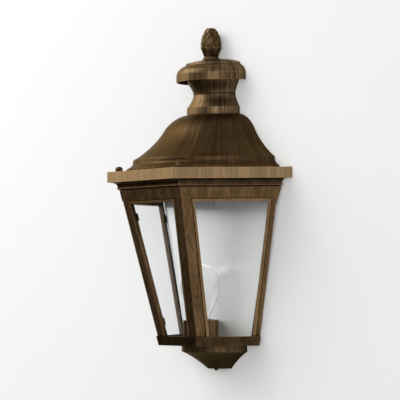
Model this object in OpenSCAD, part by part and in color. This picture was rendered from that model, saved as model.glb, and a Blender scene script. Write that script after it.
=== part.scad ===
// Half-hexagon wall lantern, in millimetres.
// The wall is the plane y = 0 and the lantern stands out towards -Y, with +Z up.
// The origin is on the wall, at the centre of the mounting strap.
// The cage, tray and ledge are half hexagons; the bell, necks, cap and cup are half rounds.

/* [Cage] */
// Side of the half hexagon at the top of the cage
cage_top_side = 143.6; // [138:0.2:148]
// Side of the half hexagon at the foot of the cage
cage_foot_side = 89.4; // [84:0.2:94]
// Height of the cage frames
cage_h = 218; // [200:1:235]
// Height of the wall outlet above the foot of the cage
outlet_h = 116; // [108:1:124]
// Thickness of the face frames
frame_t = 3.2; // [2.4:0.2:4]
// Width of a stile at a front corner, up to the glazing bead
stile_w = 13.4; // [11:0.2:16]
// Width taken by the wall stile and its gap at the head
wall_stile_head = 13.2; // [12:0.2:15]
// Width taken by the wall stile and its gap at the foot
wall_stile_foot = 8.8; // [8:0.2:11]
// Gap between the wall and the side frames at the head, before the flare
wall_gap_head = 7; // [5:0.5:8]
// How far a wall stile flares out at its head
head_flare_w = 4.8; // [1:0.2:5]
// Height over which it flares
head_flare_h = 28; // [16:1:36]
// Gap between the wall and the side frames at the foot
wall_gap_foot = 2.4; // [2:0.2:4]
// Height of the head rail of a face frame
head_rail_h = 15.4; // [13:0.2:20]
// How far the head rail stands proud of the stiles
head_rail_proud = 0.9; // [0.4:0.1:1.5]
// Height of the foot rail, hidden by the ledge
foot_rail_h = 6; // [4:0.5:9]
// Gap left by each mitre between two face frames
mitre_gap = 0.3; // [0.1:0.1:0.6]

/* [Glazing] */
// Width of the glazing bead
bead_w = 4.8; // [4:0.2:6]
// How far the bead reaches in behind the face
bead_depth = 4.6; // [3.6:0.2:6]
// How far the ridge of the bead stands proud of the face
bead_proud = 1.1; // [0.6:0.1:1.6]
// Thickness of the panes
glass_t = 2.8; // [2:0.2:4]
// How far a pane laps behind the bead
glass_lap = 3.4; // [2:0.2:3.8]
// Thickness of the spring clips
clip_t = 0.8; // [0.6:0.1:1.2]
// Length of a spring clip along the stile
clip_l = 11; // [8:1:16]
// Length of the clip's foot on the stile
clip_foot_w = 4.8; // [4:0.2:5]

/* [Cornice] */
// Height of the cornice above the frames
cornice_h = 11.2; // [10:0.2:14]
// Radius of the cove under the roof tray
cove_r = 7; // [5:0.2:8]
// How far the bottom of the cove stands outside the cage
cove_out = 3; // [2:0.2:4]
// Gap between the frames and the cornice
cornice_gap = 0.4; // [0.2:0.1:0.8]
// Depth of the flange that the head rails screw to
cornice_flange_h = 8; // [6:1:12]
// Thickness of that flange
cornice_flange_t = 2.6; // [2:0.2:3]
// Distance of the rail screws from the middle of a face
rail_screw_x = 38; // [30:1:44]
// Gap between the cornice and the wall
cornice_wall_gap = 4; // [3:0.5:5]

/* [Roof tray] */
// How far the tray's corners stand outside the cage's corners
tray_overhang = 18.7; // [17:0.1:21]
// Height of the tray's rim
tray_h = 15; // [12:0.5:20]
// Thickness of the tray's sheet
tray_t = 2; // [1.5:0.1:3]
// Radius of the tray's front corners
tray_corner_r = 3.5; // [2:0.5:6]
// Width of the lip under the tray
tray_lip_w = 21; // [19:1:23]
// Width of the strip that closes the tray along the wall
tray_back_w = 12; // [10:1:14]
// Width of the seat that the bell stands on
bell_seat_w = 8; // [6:1:10]

/* [Roof bell] */
// Distance of the bell's foot from the axes of the roof studs
bell_clear = 9.8; // [7:0.2:12]
// Height of the bell
bell_h = 80; // [72:1:90]
// Thickness of the spun shells
shell_t = 2; // [1.5:0.1:2.5]

/* [Necks] */
// Radius of the ring at the foot of the lower neck
ring_r = 46.6; // [44:0.2:50]
// Height of that ring
ring_h = 10.6; // [9:0.2:13]
// Height of the lower neck with its ring
lower_neck_h = 29.4; // [26:0.2:34]
// Radius of the waist where the two necks meet
waist_r = 37; // [35:0.2:39]
// Height of the flare of the upper neck
flare_h = 19; // [17:0.5:22]
// Radius of the flare's lip
flare_r = 46; // [43:0.5:49]
// Radius of the collar that carries the cap
collar_r = 32; // [28:1:34]

/* [Cap] */
// Radius of the cap's rim
cap_r = 61.4; // [58:0.2:65]
// Height of the cap from rim to crown
cap_h = 33; // [30:0.5:36]
// Radius of the step round the crown
crown_r = 47.5; // [45:0.5:49]
// How far the crown falls from its centre to the step
crown_drop = 5.6; // [4.6:0.2:6]
// How far the rim hangs below the flare's lip
rim_drop = 1.2; // [0.5:0.1:3]

/* [Finial] */
// Height of the pine cone finial
finial_h = 45.4; // [42:0.2:50]
// Radius of the cone at its leaves
finial_r = 14.4; // [13:0.2:15]
// Distance of the finial and its rod from the wall
rod_y = 14.2; // [13.5:0.1:16]
// Radius of the rod that ties the roof together
rod_r = 3; // [2.5:0.1:3.5]

/* [Roof nuts] */
// Distance of the roof studs inside the tray's corners
stud_inset = 17.5; // [15.5:0.1:18.5]
// Radius of the roof studs
stud_r = 2; // [1.5:0.1:2.2]
// Radius of the knurled nuts
nut_r = 5.2; // [4.6:0.1:5.6]
// Thickness of the nuts' domes over their bores
nut_dome_t = 1; // [0.8:0.1:2]
// Thickness of the washers under the nuts
washer_t = 1; // [0.8:0.1:1.4]
// Thread pitch of the studs and nuts
thread_pitch = 0.8; // [0.7:0.05:1]
// Turns that free a nut from its stud
nut_turns = 6; // [4:1:6]

/* [Base] */
// Height of the ledge's walls, floor included
ledge_h = 13.3; // [12:0.1:16]
// Thickness of the ledge's walls
ledge_t = 1.4; // [1:0.1:2]
// Thickness of the ledge's floor
floor_t = 1.8; // [1.5:0.1:2.5]
// Radius of the cup's band
cup_r = 57.8; // [56:0.2:62]
// Height of the cup's band
cup_band_h = 9.8; // [8:0.2:12]
// Height of the whole cup
cup_h = 33.8; // [30:0.2:38]
// Radius of the cup's flat bottom
cup_bottom_r = 21; // [18:0.5:24]
// Distance of the cup's rod from the wall
cup_rod_y = 11; // [9:0.5:13]
// Radius of the cup's rod
cup_rod_r = 1.6; // [1.2:0.1:2]

/* [Lamp] */
// Distance of the lamp's axis from the wall
lamp_y = 37.4; // [37:0.1:38.4]
// Radius of the socket sleeve
sleeve_r = 24.6; // [23:0.2:26]
// Height of the sleeve above the floor
sleeve_h = 33.5; // [31:0.5:36]
// Thickness of the sleeve
sleeve_t = 1; // [0.8:0.1:1.4]
// Radius of the porcelain socket
socket_r = 18.5; // [17.5:0.1:19.5]
// Radius of the bulb's metal base
base_r = 13.1; // [12.9:0.1:13.2]
// Length of the bulb's metal base
base_l = 26; // [24:0.5:28]
// Largest radius of the bulb
bulb_r = 27.8; // [26:0.2:28]
// Length of the bulb
bulb_l = 107; // [102:1:112]
// Radius of the socket's screw shell
screw_shell_r = 13.9; // [13.7:0.1:14.1]

/* [Wall mounting] */
// Spacing of the outlet box screws
box_spacing = 88.9; // [80:0.1:96]
// Radius of the outlet box screw holes
box_hole_r = 2.4; // [2:0.1:3]
// Width of the mounting strap
strap_w = 26; // [22:1:30]
// Thickness of the mounting strap
strap_t = 3; // [2:0.2:3.2]
// Distance of the strap's ends from the roof tray or the foot of the cage, whichever is nearer
strap_clear = 11.2; // [10:0.2:14]
// Distance of the strap's studs from its ends
strap_stud_in = 16; // [14:0.5:18]
// Radius of the strap's studs
strap_stud_r = 2.1; // [1.8:0.1:2.4]
// Gap between the wall and the back panel
panel_gap = 6.3; // [6:0.1:7]
// Thickness of the back panel
panel_t = 1.2; // [1:0.1:1.4]
// Thickness of the reflector
reflector_t = 1; // [0.8:0.1:1.2]
// Radius of the lead wires
lead_r = 1.2; // [1:0.1:1.4]
// Distance of the lead wires from the middle
lead_x = 17; // [16.5:0.5:18]

/* [Hidden] */

// Number of facets on a full turn of the round pieces
$fn = 96;
// A length past every edge, for cuts
far = 400;
// Clearance of a screw or stud in its threaded hole
thread_gap = 0.05;
// How far a cut runs past the face it opens
past = 1;
// Clearance of a fixed pin, rod or screw in its hole
hole_gap = 0.3;
// Clearance between fixed pieces that lie side by side
side_gap = 0.3;
// Running clearance of a nut on its stud
run_gap = 0.08;
// Steps along each drawn curve
curve_n = 12;

// Ratio of a hexagon's apothem to its side
flat = cos(30);
// Slope of the faces and their angle from upright
cage_slope = (cage_top_side - cage_foot_side) / cage_h;
lean = atan(cage_slope * flat);
// Length of a face up its slope
slant = cage_h / cos(lean);

// Side of the tray's half hexagon, reach of the roof studs towards its corners, and the bell's foot
tray_side = cage_top_side + tray_overhang;
stud_reach = tray_side - stud_inset;
bell_foot_r = stud_reach - bell_clear;

// Heights above the outlet
foot_z = -outlet_h;
cage_top_z = foot_z + cage_h;
tray_z = cage_top_z + cornice_h;
bell_z = tray_z + tray_h;
ring_z = bell_z + bell_h;
waist_z = ring_z + lower_neck_h;
lip_z = waist_z + flare_h;
rim_z = lip_z - rim_drop;
floor_z = foot_z - floor_t;

// Length of the mounting strap and distance of its studs from its centre
strap_l = 2 * (min(tray_z, outlet_h) - strap_clear);
strap_stud_z = strap_l / 2 - strap_stud_in;

// Distances of the cornice's flange from the centre, along a face's middle line
flange_top = cage_top_side * flat - frame_t / cos(lean) - side_gap;
flange_foot = flange_top - cornice_flange_h * cage_slope * flat;
flange_in = flange_foot - cornice_flange_t;
// Depth of the cornice's rear bar
cornice_bar_t = 5;

// Rail screws: shank, head, depth in the rail and whole length
screw_r = 1.5;
screw_head_r = 2.8;
screw_head_h = 1.6;
screw_sink = 2.2;
screw_l = flange_top - flange_in - cornice_flange_h / 2 * cage_slope * flat + side_gap + screw_sink;

// Extra depth at the end of a blind bore
bore_end = 0.4;
// Depth of the roof studs in the cornice, the washers' lip round the nuts, the studs' length in them
stud_sink = 8;
washer_lip = 0.4;
stud_grip = nut_turns * thread_pitch + bore_end;
nut_h = stud_grip + bore_end + nut_dome_t;

// Height of the pad under the finial and the finial's foot
pad_rise = 0.3;
finial_z = rim_z + cap_h + pad_rise;
finial_bore = 12;
// Underside of the bell's top, where the tie rod's washer and nut sit
tie_z = ring_z - shell_t;
tie_washer_t = 1.6;
tie_nut_h = 4.8;

// Distance from the wall to the reflector's face and how far both sheets stay inside the cage
reflector_y = panel_gap + panel_t + reflector_t;
sheet_inset = (bead_depth + glass_t + clip_t) / cos(lean) / flat + reflector_y * tan(30) + side_gap;
sheet_top_z = cage_top_z - cornice_flange_h - side_gap;
// Nuts on the strap's studs; the cap nuts are low, to pass behind the socket sleeve
strap_nut_r = 4.6;
cap_nut_hex_h = 2.4;
cap_nut_l = 4;
cap_nut_grip = 2.6;
// Height of the ground screw on the strap and radius of its shank
ground_z = 22;
ground_r = 1.8;
ground_head_r = 4;
ground_head_h = 2.6;

// Boss under the floor that the cup's rod screws into
cup_boss_h = 4;
cup_rod_sink = 3;
knob_r = 2.9;
knob_h = 3.2;
knob_bore = 2.2;

// Socket: height, floor under the contact, neck through the cage's floor, ring nut, contacts
socket_h = 34.7;
socket_floor_h = 4;
socket_neck_r = 13;
socket_neck_h = 6.2;
socket_ring_h = 4;
socket_ring_w = 3.5;
contact_h = 1.4;
screw_shell_h = 24;
screw_shell_t = 0.4;
contact_r = 4;
seat_gap = 0.1;
bulb_gap = 0.1;

bronze = [0.33, 0.22, 0.13];
bronze_light = [0.55, 0.40, 0.25];
bronze_dark = [0.22, 0.14, 0.09];
steel = [0.70, 0.70, 0.72];

// Side of the cage's half hexagon at a height
function side_at(z) = cage_foot_side + (z - foot_z) * cage_slope;

// Points of a cubic curve from a to d, shaped by b and c
function curve(a, b, c, d, n = curve_n) =
    [for (i = [0 : n]) let (t = i / n, s = 1 - t)
        s * s * s * a + 3 * s * s * t * b + 3 * s * t * t * c + t * t * t * d];

// Points of an arc round c from angle a0 to a1
function arc(c, r, a0, a1, n = 6) =
    [for (i = [0 : n]) let (t = a0 + (a1 - a0) * i / n) c + r * [cos(t), sin(t)]];

// A path moved inwards by t, square to its run and never past the axis
function inside(path, t) =
    [for (i = [0 : len(path) - 1])
        let (a = path[max(i - 1, 0)], b = path[min(i + 1, len(path) - 1)], d = b - a)
        [max(0, path[i][0] + t * d[1] / norm(d)), path[i][1] - t * d[0] / norm(d)]];

function reverse(path) = [for (i = [len(path) - 1 : -1 : 0]) path[i]];

function shift(path, by) = [for (p = path) p + by];

// Half hexagon with its cut side at y = -back and its front corners rounded
function half_hex(side, corner = 0, back = 0) =
    let (rear = side - back / tan(60), mid = side - corner / sin(60))
    concat([[rear, -back]],
           corner > 0 ? arc(mid * [cos(60), -sin(60)], corner, -30, -90) : [side * [cos(60), -sin(60)]],
           corner > 0 ? arc(mid * [-cos(60), -sin(60)], corner, -90, -150) : [side * [-cos(60), -sin(60)]],
           [[-rear, -back]]);

// Half turn of a profile of [radius, height] points, on the wall's front side
module half_turn(profile) {
    rotate([0, 0, 180]) rotate_extrude(angle = 180) polygon(profile);
}

// Spun half shell between a path and the same path moved inwards
module half_shell(path, t) {
    half_turn(concat(path, reverse(inside(path, t))));
}

// Turns a thing drawn on a leaning face, x across, y up the slope and z outwards
module on_face(turn = 0) {
    rotate([0, 0, turn]) translate([0, -cage_foot_side * flat, foot_z]) rotate([90 + lean, 0, 0])
        children();
}

// The sixth of the plan that one face takes, less its mitres
module face_sector(turn, gap = 0) {
    rotate([0, 0, turn]) translate([0, -gap, -far]) linear_extrude(2 * far)
        polygon([[0, 0], [-far * tan(30), -far], [far * tan(30), -far]]);
}

// All that lies within the three leaning faces moved outwards, between two heights
module cage_inside(out, z0, z1) {
    intersection() {
        translate([-far, -far, z0]) cube([2 * far, far, z1 - z0]);
        on_face(0) translate([-far, -far, out - far]) cube([2 * far, 2 * far, far]);
        on_face(60) translate([-far, -far, out - far]) cube([2 * far, 2 * far, far]);
        on_face(-60) translate([-far, -far, out - far]) cube([2 * far, 2 * far, far]);
    }
}

// How far the bead laps into the frame, and its two steps
bead_lap = 0.5;
bead_step = 0.4;
bead_ridge = 0.75;

// Half width of a face at a distance v up its slope
function half_w(v) = (cage_foot_side + (cage_top_side - cage_foot_side) * v / slant) / 2;

// Sight opening of a face: a front corner stile on each side, or a wall stile on the right
function sight(wall, v0, v1, grow = 0) =
    let (left = stile_w + bead_w,
         head = wall ? wall_stile_head + bead_w : left,
         foot = wall ? wall_stile_foot + bead_w : left)
    [[-half_w(v0) + left - grow, v0 - grow], [half_w(v0) - foot + grow, v0 - grow],
     [half_w(v1) - head + grow, v1 + grow], [-half_w(v1) + left - grow, v1 + grow]];

// Distance up a face that the ledge hides, where the bead is flush
ledge_v = (ledge_h - floor_t + side_gap) / cos(lean);

sight_foot = foot_rail_h + bead_w;
sight_head = slant - head_rail_h - bead_w;

// Outline of a frame, cut back from the wall on a side face and flared out again at its head
module frame_outline(wall) {
    head = wall ? wall_gap_head / flat : -far;
    foot = wall ? wall_gap_foot / flat : -far;
    flare_v = slant - head_flare_h;
    flare_gap = foot + (head - foot) * flare_v / slant;
    polygon([[-far, 0], [half_w(0) - foot, 0], [half_w(flare_v) - flare_gap, flare_v],
             [half_w(slant) - head + (wall ? head_flare_w : 0), slant], [-far, slant]]);
}

// A face frame with its head rail and glazing bead, drawn flat
module flat_frame(wall) {
    difference() {
        union() {
            translate([0, 0, -frame_t]) linear_extrude(frame_t) frame_outline(wall);
            translate([0, 0, -frame_t]) linear_extrude(frame_t + head_rail_proud) intersection() {
                frame_outline(wall);
                translate([-far, slant - head_rail_h]) square([3 * far, head_rail_h]);
            }
        }
        translate([0, 0, -far]) linear_extrude(2 * far)
            polygon(sight(wall, sight_foot, sight_head, bead_w - bead_lap));
    }
    difference() {
        union() {
            translate([0, 0, -bead_depth]) linear_extrude(bead_depth + bead_proud * bead_step)
                polygon(sight(wall, sight_foot, sight_head, bead_w));
            linear_extrude(bead_proud) polygon(sight(wall, sight_foot, sight_head, bead_w * bead_ridge));
        }
        translate([0, 0, -far]) linear_extrude(2 * far) polygon(sight(wall, sight_foot, sight_head));
        translate([-far, -far, 0]) cube([2 * far, far + ledge_v, far]);
    }
}

// Cuts a frame level at the cage's top, under the cornice
module level_top() {
    translate([-far, -far, cage_top_z - far]) cube([2 * far, 2 * far, far]);
}

// Places a flat face thing on the front, right or left face
module at_front() {
    on_face(0) children();
}
module at_right() {
    on_face(60) children();
}
module at_left() {
    mirror([1, 0, 0]) on_face(60) children();
}

module front_frame() {
    color(bronze) difference() {
        intersection() {
            at_front() flat_frame(false);
            face_sector(0, mitre_gap);
            level_top();
        }
        at_rail_screws(0) cylinder(h = screw_l, r = screw_r + thread_gap);
    }
}

module side_frame() {
    difference() {
        intersection() {
            at_right() flat_frame(true);
            face_sector(60, mitre_gap);
            level_top();
        }
        at_rail_screws(60) cylinder(h = screw_l, r = screw_r + thread_gap);
    }
}

module right_frame() {
    color(bronze) side_frame();
}

module left_frame() {
    color(bronze) mirror([1, 0, 0]) side_frame();
}

module flat_pane(wall) {
    translate([0, 0, -bead_depth - glass_t]) linear_extrude(glass_t)
        polygon(sight(wall, sight_foot, sight_head, glass_lap));
}

module front_pane() {
    color([0.85, 0.90, 0.92, 0.35]) at_front() flat_pane(false);
}

module right_pane() {
    color([0.85, 0.90, 0.92, 0.35]) at_right() flat_pane(true);
}

module left_pane() {
    color([0.85, 0.90, 0.92, 0.35]) at_left() flat_pane(true);
}

// Shares of a pane's edge at which its two clips sit
CLIP_AT = [0.12, 0.88];

// A spring clip over a pane's edge at x = 0, its foot on the back of a stile
module clip() {
    riser = glass_lap - bead_w - side_gap;
    back = -bead_depth - glass_t - clip_t;
    foot = -frame_t - clip_t;
    rotate([90, 0, 0]) linear_extrude(clip_l, center = true)
        polygon([[riser - clip_foot_w, -frame_t], [riser - clip_foot_w, foot], [riser - clip_t, foot],
                 [riser - clip_t, back], [glass_lap - clip_t, back], [glass_lap - clip_t, back + clip_t],
                 [riser, back + clip_t], [riser, -frame_t]]);
}

// Places a thing on an edge that runs up the slope from a to b
module on_edge(a, b, share) {
    at = a + (b - a) * share;
    turn = atan2(b[1] - a[1], b[0] - a[0]) - 90;
    translate([at[0], at[1], 0]) rotate([0, 0, turn]) children();
}

// Four clips of one face, on the side edges of its pane
module flat_clips(wall) {
    edge = sight(wall, sight_foot, sight_head, glass_lap);
    for (share = CLIP_AT) {
        on_edge(edge[0], edge[3], share) clip();
        on_edge(edge[1], edge[2], share) mirror([1, 0, 0]) clip();
    }
}

module glass_clips() {
    color(steel) {
        at_front() flat_clips(false);
        at_right() flat_clips(true);
        at_left() flat_clips(true);
    }
}

// Places a thing at the two rail screws of a face, pointing out from the flange's inner side
module at_rail_screws(turn) {
    for (x = [-rail_screw_x, rail_screw_x])
        rotate([0, 0, turn]) translate([x, -flange_in, cage_top_z - cornice_flange_h / 2])
            rotate([90, 0, 0]) children();
}

module frame_screws() {
    color(steel) for (turn = [0, 60, -60]) at_rail_screws(turn) union() {
        translate([0, 0, -screw_head_h]) cylinder(h = screw_head_h, r = screw_head_r);
        cylinder(h = screw_l - bore_end, r = screw_r);
    }
}

// Section of the filled cornice as [distance from the centre, height], from its top edge down
function cornice_section() =
    let (a = cage_top_side * flat + cove_out, fillet = 0.6, z = tray_z - fillet - cove_r, ridge_r = 1,
         neck = a - 0.9)
    concat([[-far, tray_z], [a + cove_r + fillet, tray_z], [a + cove_r + fillet, tray_z - fillet]],
           arc([a + cove_r, z], cove_r, 90, 180, 8),
           arc([a, z - ridge_r - 0.1], ridge_r, 90, -90, 6),
           [[neck, z - 2 * ridge_r - 0.2], [neck, cage_top_z + cornice_gap],
            [flange_top, cage_top_z + cornice_gap], [flange_foot, cage_top_z - cornice_flange_h],
            [-far, cage_top_z - cornice_flange_h]]);

// The section run along one face
module cornice_run(turn) {
    rotate([0, 0, turn]) rotate([90, 0, -90]) linear_extrude(2 * far, center = true) polygon(cornice_section());
}

module cornice() {
    color(bronze) difference() {
        intersection() {
            cornice_run(0);
            cornice_run(60);
            cornice_run(-60);
            translate([-far, -far - cornice_wall_gap, 0]) cube([2 * far, far, far]);
        }
        linear_extrude(far) polygon(half_hex(flange_in / flat, 0, cornice_wall_gap + cornice_bar_t));
        at_studs() translate([0, 0, tray_z - stud_sink]) cylinder(h = stud_sink + past, r = stud_r + thread_gap);
        for (turn = [0, 60, -60]) at_rail_screws(turn) translate([0, 0, -past])
            cylinder(h = screw_l, r = screw_r + hole_gap);
    }
}

// Places a thing on the axis of the left or right roof stud
module at_stud(side) {
    translate([side * stud_reach * cos(60), -stud_reach * sin(60), 0]) children();
}

module at_studs() {
    at_stud(-1) children();
    at_stud(1) children();
}

module roof_tray() {
    inner = half_hex(tray_side - tray_t / flat, max(tray_corner_r - tray_t, 0), tray_t);
    color(bronze_light) difference() {
        translate([0, 0, tray_z]) linear_extrude(tray_h) polygon(half_hex(tray_side, tray_corner_r));
        translate([0, 0, tray_z + tray_t]) linear_extrude(tray_h - 2 * tray_t) polygon(inner);
        translate([0, 0, tray_z - past]) linear_extrude(tray_t + 2 * past)
            polygon(half_hex(tray_side - tray_lip_w / flat, 0, tray_back_w));
        intersection() {
            translate([0, 0, bell_z - tray_t - past]) cylinder(h = tray_t + 2 * past, r = bell_foot_r - bell_seat_w);
            translate([-far, -far - bell_seat_w, 0]) cube([2 * far, far, far]);
        }
        at_studs() translate([0, 0, tray_z - past]) cylinder(h = tray_h + 2 * past, r = stud_r + hole_gap);
    }
}

// A path without its first point, to follow one that ends there
function rest(path) = [for (i = [1 : len(path) - 1]) path[i]];

// Outline of the bell from the middle of its top: shoulder, sweep, moulding, skirt and foot
function bell_path() =
    let (shoulder = [ring_r + 35.4, bell_h - 25.7], sweep = [bell_foot_r - 13.5, 17.6],
         round_r = 3, skirt = [bell_foot_r - 10.3, 11.4])
    concat([[0, bell_h]],
           curve([ring_r, bell_h], [ring_r + 15.4, bell_h - 1.8], shoulder + [-7, 12.7], shoulder),
           rest(curve(shoulder, shoulder + [9, -13], sweep + [-16, 10], sweep)),
           rest(arc(sweep - [0, round_r], round_r, 90, 0, 5)),
           curve(skirt, skirt + [0.5, -3], skirt + [4.3, -5.2], [bell_foot_r - 1, 3.4], 6),
           [[bell_foot_r, 2.4], [bell_foot_r, 0]]);

module roof_bell() {
    color(bronze_dark) translate([0, 0, bell_z]) difference() {
        half_shell(bell_path(), shell_t);
        at_rod() translate([0, 0, bell_h - shell_t - past]) cylinder(h = shell_t + 2 * past, r = rod_r + hole_gap);
    }
}

// Places a thing on the axis of the tie rod
module at_rod() {
    translate([0, -rod_y, 0]) children();
}

// Outline of the lower neck from the waist down to the foot of its ring
function lower_neck_path() =
    concat(curve([waist_r, lower_neck_h], [waist_r + 1.2, lower_neck_h - 8], [ring_r - 4.6, ring_h + 6.4],
                 [ring_r - 1.6, ring_h + 1.2]),
           [[ring_r, ring_h - 0.6], [ring_r, 0]]);

module lower_neck() {
    color(bronze) translate([0, 0, ring_z]) half_shell(lower_neck_path(), shell_t);
}

// Height of the cap's crown over its rim at a radius
function crown_at(r) = cap_h - crown_drop * pow(r / crown_r, 2);

// The upper neck: its flare, the lip on top and the collar that carries the cap
module upper_neck() {
    top = rim_z - waist_z + crown_at(collar_r) - shell_t - side_gap;
    flare = curve([flare_r, flare_h], [flare_r - 3, flare_h - 7], [waist_r + 0.6, 6.5], [waist_r, 0]);
    color(bronze) translate([0, 0, waist_z]) half_turn(concat(
        [[collar_r, top], [collar_r, flare_h + shell_t], [flare_r, flare_h + shell_t]],
        flare, reverse(shift(flare, [-shell_t, 0])),
        [[collar_r - shell_t, flare_h], [collar_r - shell_t, top]]));
}

// Outline of the cap from its centre to its rim: crown, step, shoulder and skirt
function cap_path() =
    let (step = [crown_r + 1, crown_at(crown_r) - 2.2])
    concat([for (i = [0 : 8]) [crown_r * i / 8, crown_at(crown_r * i / 8)]],
           curve(step, step + [7.5, -3.2], [cap_r, 15], [cap_r, 6]),
           [[cap_r, 0]]);

module cap() {
    pad_r = rod_y - 1.6;
    pad_h = 4;
    color(bronze_light) translate([0, 0, rim_z]) difference() {
        union() {
            half_shell(cap_path(), shell_t);
            at_rod() translate([0, 0, cap_h - pad_h]) cylinder(h = pad_h + pad_rise, r = pad_r);
        }
        at_rod() translate([0, 0, cap_h - pad_h - past]) cylinder(h = pad_h + 3 * past, r = rod_r + hole_gap);
    }
}

// Outline of the cone from the middle of its foot: base, stem, leaf cup and rows of scales
function finial_path() =
    let (leaf_z = 17.2, foot_r = rod_y - 1.9, stem_r = foot_r - 1.3, rows = 9, cone_r = finial_r - 0.9,
         cone_z = leaf_z + 0.8, rise = finial_h - cone_z)
    concat([[0, 0], [foot_r, 0], [foot_r, 1.2], [stem_r + 0.2, 3.2]],
           curve([stem_r, 5.5], [stem_r - 0.6, 9], [finial_r - 1.6, 12], [finial_r, leaf_z], 6),
           [for (i = [0 : rows - 1]) let (a = 90 * i / rows, b = 90 * (i + 0.8) / rows)
               each [[cone_r * cos(a), cone_z + rise * sin(a)], [cone_r * cos(b) + 0.9, cone_z + rise * sin(b)]]],
           [[0, finial_h]]);

module finial() {
    color(bronze_dark) at_rod() translate([0, 0, finial_z]) difference() {
        rotate_extrude() polygon(finial_path());
        translate([0, 0, -past]) cylinder(h = finial_bore + past, r = rod_r + thread_gap);
    }
}

module tie_rod() {
    foot = tie_z - tie_washer_t - tie_nut_h - past;
    color(steel) at_rod() translate([0, 0, foot])
        cylinder(h = finial_z + finial_bore - bore_end - foot, r = rod_r);
}

module tie_washer() {
    color(steel) at_rod() translate([0, 0, tie_z - tie_washer_t]) difference() {
        cylinder(h = tie_washer_t, r = 3 * rod_r);
        translate([0, 0, -past]) cylinder(h = tie_washer_t + 2 * past, r = rod_r + hole_gap);
    }
}

module tie_nut() {
    color(steel) at_rod() translate([0, 0, tie_z - tie_washer_t - tie_nut_h]) difference() {
        cylinder(h = tie_nut_h, r = 1.95 * rod_r, $fn = 6);
        translate([0, 0, -past]) cylinder(h = tie_nut_h + 2 * past, r = rod_r + thread_gap);
    }
}

module roof_studs() {
    color(steel) at_studs() translate([0, 0, tray_z - stud_sink])
        cylinder(h = stud_sink + tray_h + washer_t + stud_grip, r = stud_r);
}

module washer() {
    color(bronze_dark) translate([0, 0, bell_z]) difference() {
        cylinder(h = washer_t, r = nut_r + washer_lip);
        translate([0, 0, -past]) cylinder(h = washer_t + 2 * past, r = stud_r + hole_gap);
    }
}

module left_washer() {
    at_stud(-1) washer();
}

module right_washer() {
    at_stud(1) washer();
}

// A domed nut with flutes round its side and a blind bore from below
module nut() {
    flutes = 18;
    flute_depth = 0.45;
    color(bronze_dark) translate([0, 0, bell_z + washer_t]) difference() {
        intersection() {
            linear_extrude(nut_h) polygon([for (i = [0 : 2 * flutes - 1])
                (nut_r - (i % 2) * flute_depth) * [cos(180 * i / flutes), sin(180 * i / flutes)]]);
            rotate_extrude() polygon(concat([[0, 0], [nut_r, 0]],
                curve([nut_r, nut_h * 0.55], [nut_r, nut_h * 0.8], [nut_r * 0.6, nut_h], [0, nut_h], 6)));
        }
        translate([0, 0, -past]) cylinder(h = stud_grip + bore_end + past, r = stud_r + run_gap);
    }
}

module left_nut() {
    at_stud(-1) nut();
}

module right_nut() {
    at_stud(1) nut();
}

// A sheet that stands upright inside the back of the cage, out from the wall by its near side
module back_sheet(near, t) {
    foot = side_at(foot_z) - sheet_inset;
    top = side_at(sheet_top_z) - sheet_inset;
    difference() {
        translate([0, -near, 0]) rotate([90, 0, 0]) linear_extrude(t)
            polygon([[-foot, foot_z], [foot, foot_z], [top, sheet_top_z], [-top, sheet_top_z]]);
        at_strap_studs() cylinder(h = far, r = strap_stud_r + hole_gap);
    }
}

// Places a thing at each end stud of the strap, its height running out from the wall
module at_strap_studs() {
    for (z = [-strap_stud_z, strap_stud_z]) translate([0, 0, z]) rotate([90, 0, 0]) children();
}

module back_panel() {
    color(bronze) back_sheet(panel_gap, panel_t);
}

module reflector() {
    color([0.75, 0.76, 0.76]) back_sheet(panel_gap + panel_t, reflector_t);
}

module mounting_strap() {
    color(steel) difference() {
        translate([-strap_w / 2, -strap_t, -strap_l / 2]) cube([strap_w, strap_t, strap_l]);
        at_strap_studs() translate([0, 0, -past]) cylinder(h = strap_t + 2 * past, r = strap_stud_r + thread_gap);
        for (z = [-box_spacing / 2, box_spacing / 2]) translate([0, past, z]) rotate([90, 0, 0])
            cylinder(h = strap_t + 2 * past, r = box_hole_r);
        translate([0, past, ground_z]) rotate([90, 0, 0])
            cylinder(h = strap_t + 2 * past, r = ground_r + thread_gap);
    }
}

module strap_studs() {
    color(steel) at_strap_studs() cylinder(h = reflector_y + cap_nut_grip, r = strap_stud_r);
}

module spacer_nuts() {
    color(steel) at_strap_studs() translate([0, 0, strap_t]) difference() {
        cylinder(h = panel_gap - strap_t, r = strap_nut_r, $fn = 6);
        translate([0, 0, -past]) cylinder(h = panel_gap, r = strap_stud_r + thread_gap);
    }
}

module cap_nuts() {
    dome_r = strap_nut_r * flat - 0.2;
    color(steel) at_strap_studs() translate([0, 0, reflector_y]) difference() {
        union() {
            cylinder(h = cap_nut_hex_h, r = strap_nut_r, $fn = 6);
            rotate_extrude() polygon(concat([[0, 0], [dome_r, 0]],
                curve([dome_r, cap_nut_hex_h], [dome_r, cap_nut_l - 0.6], [2, cap_nut_l], [0, cap_nut_l], 6)));
        }
        translate([0, 0, -past]) cylinder(h = cap_nut_grip + bore_end + past, r = strap_stud_r + thread_gap);
    }
}

module ground_screw() {
    color([0.20, 0.50, 0.25]) translate([0, -side_gap, ground_z]) rotate([90, 0, 0]) union() {
        cylinder(h = strap_t - side_gap, r = ground_r);
        translate([0, 0, strap_t - side_gap]) cylinder(h = ground_head_h, r = ground_head_r, $fn = 6);
    }
}

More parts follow.
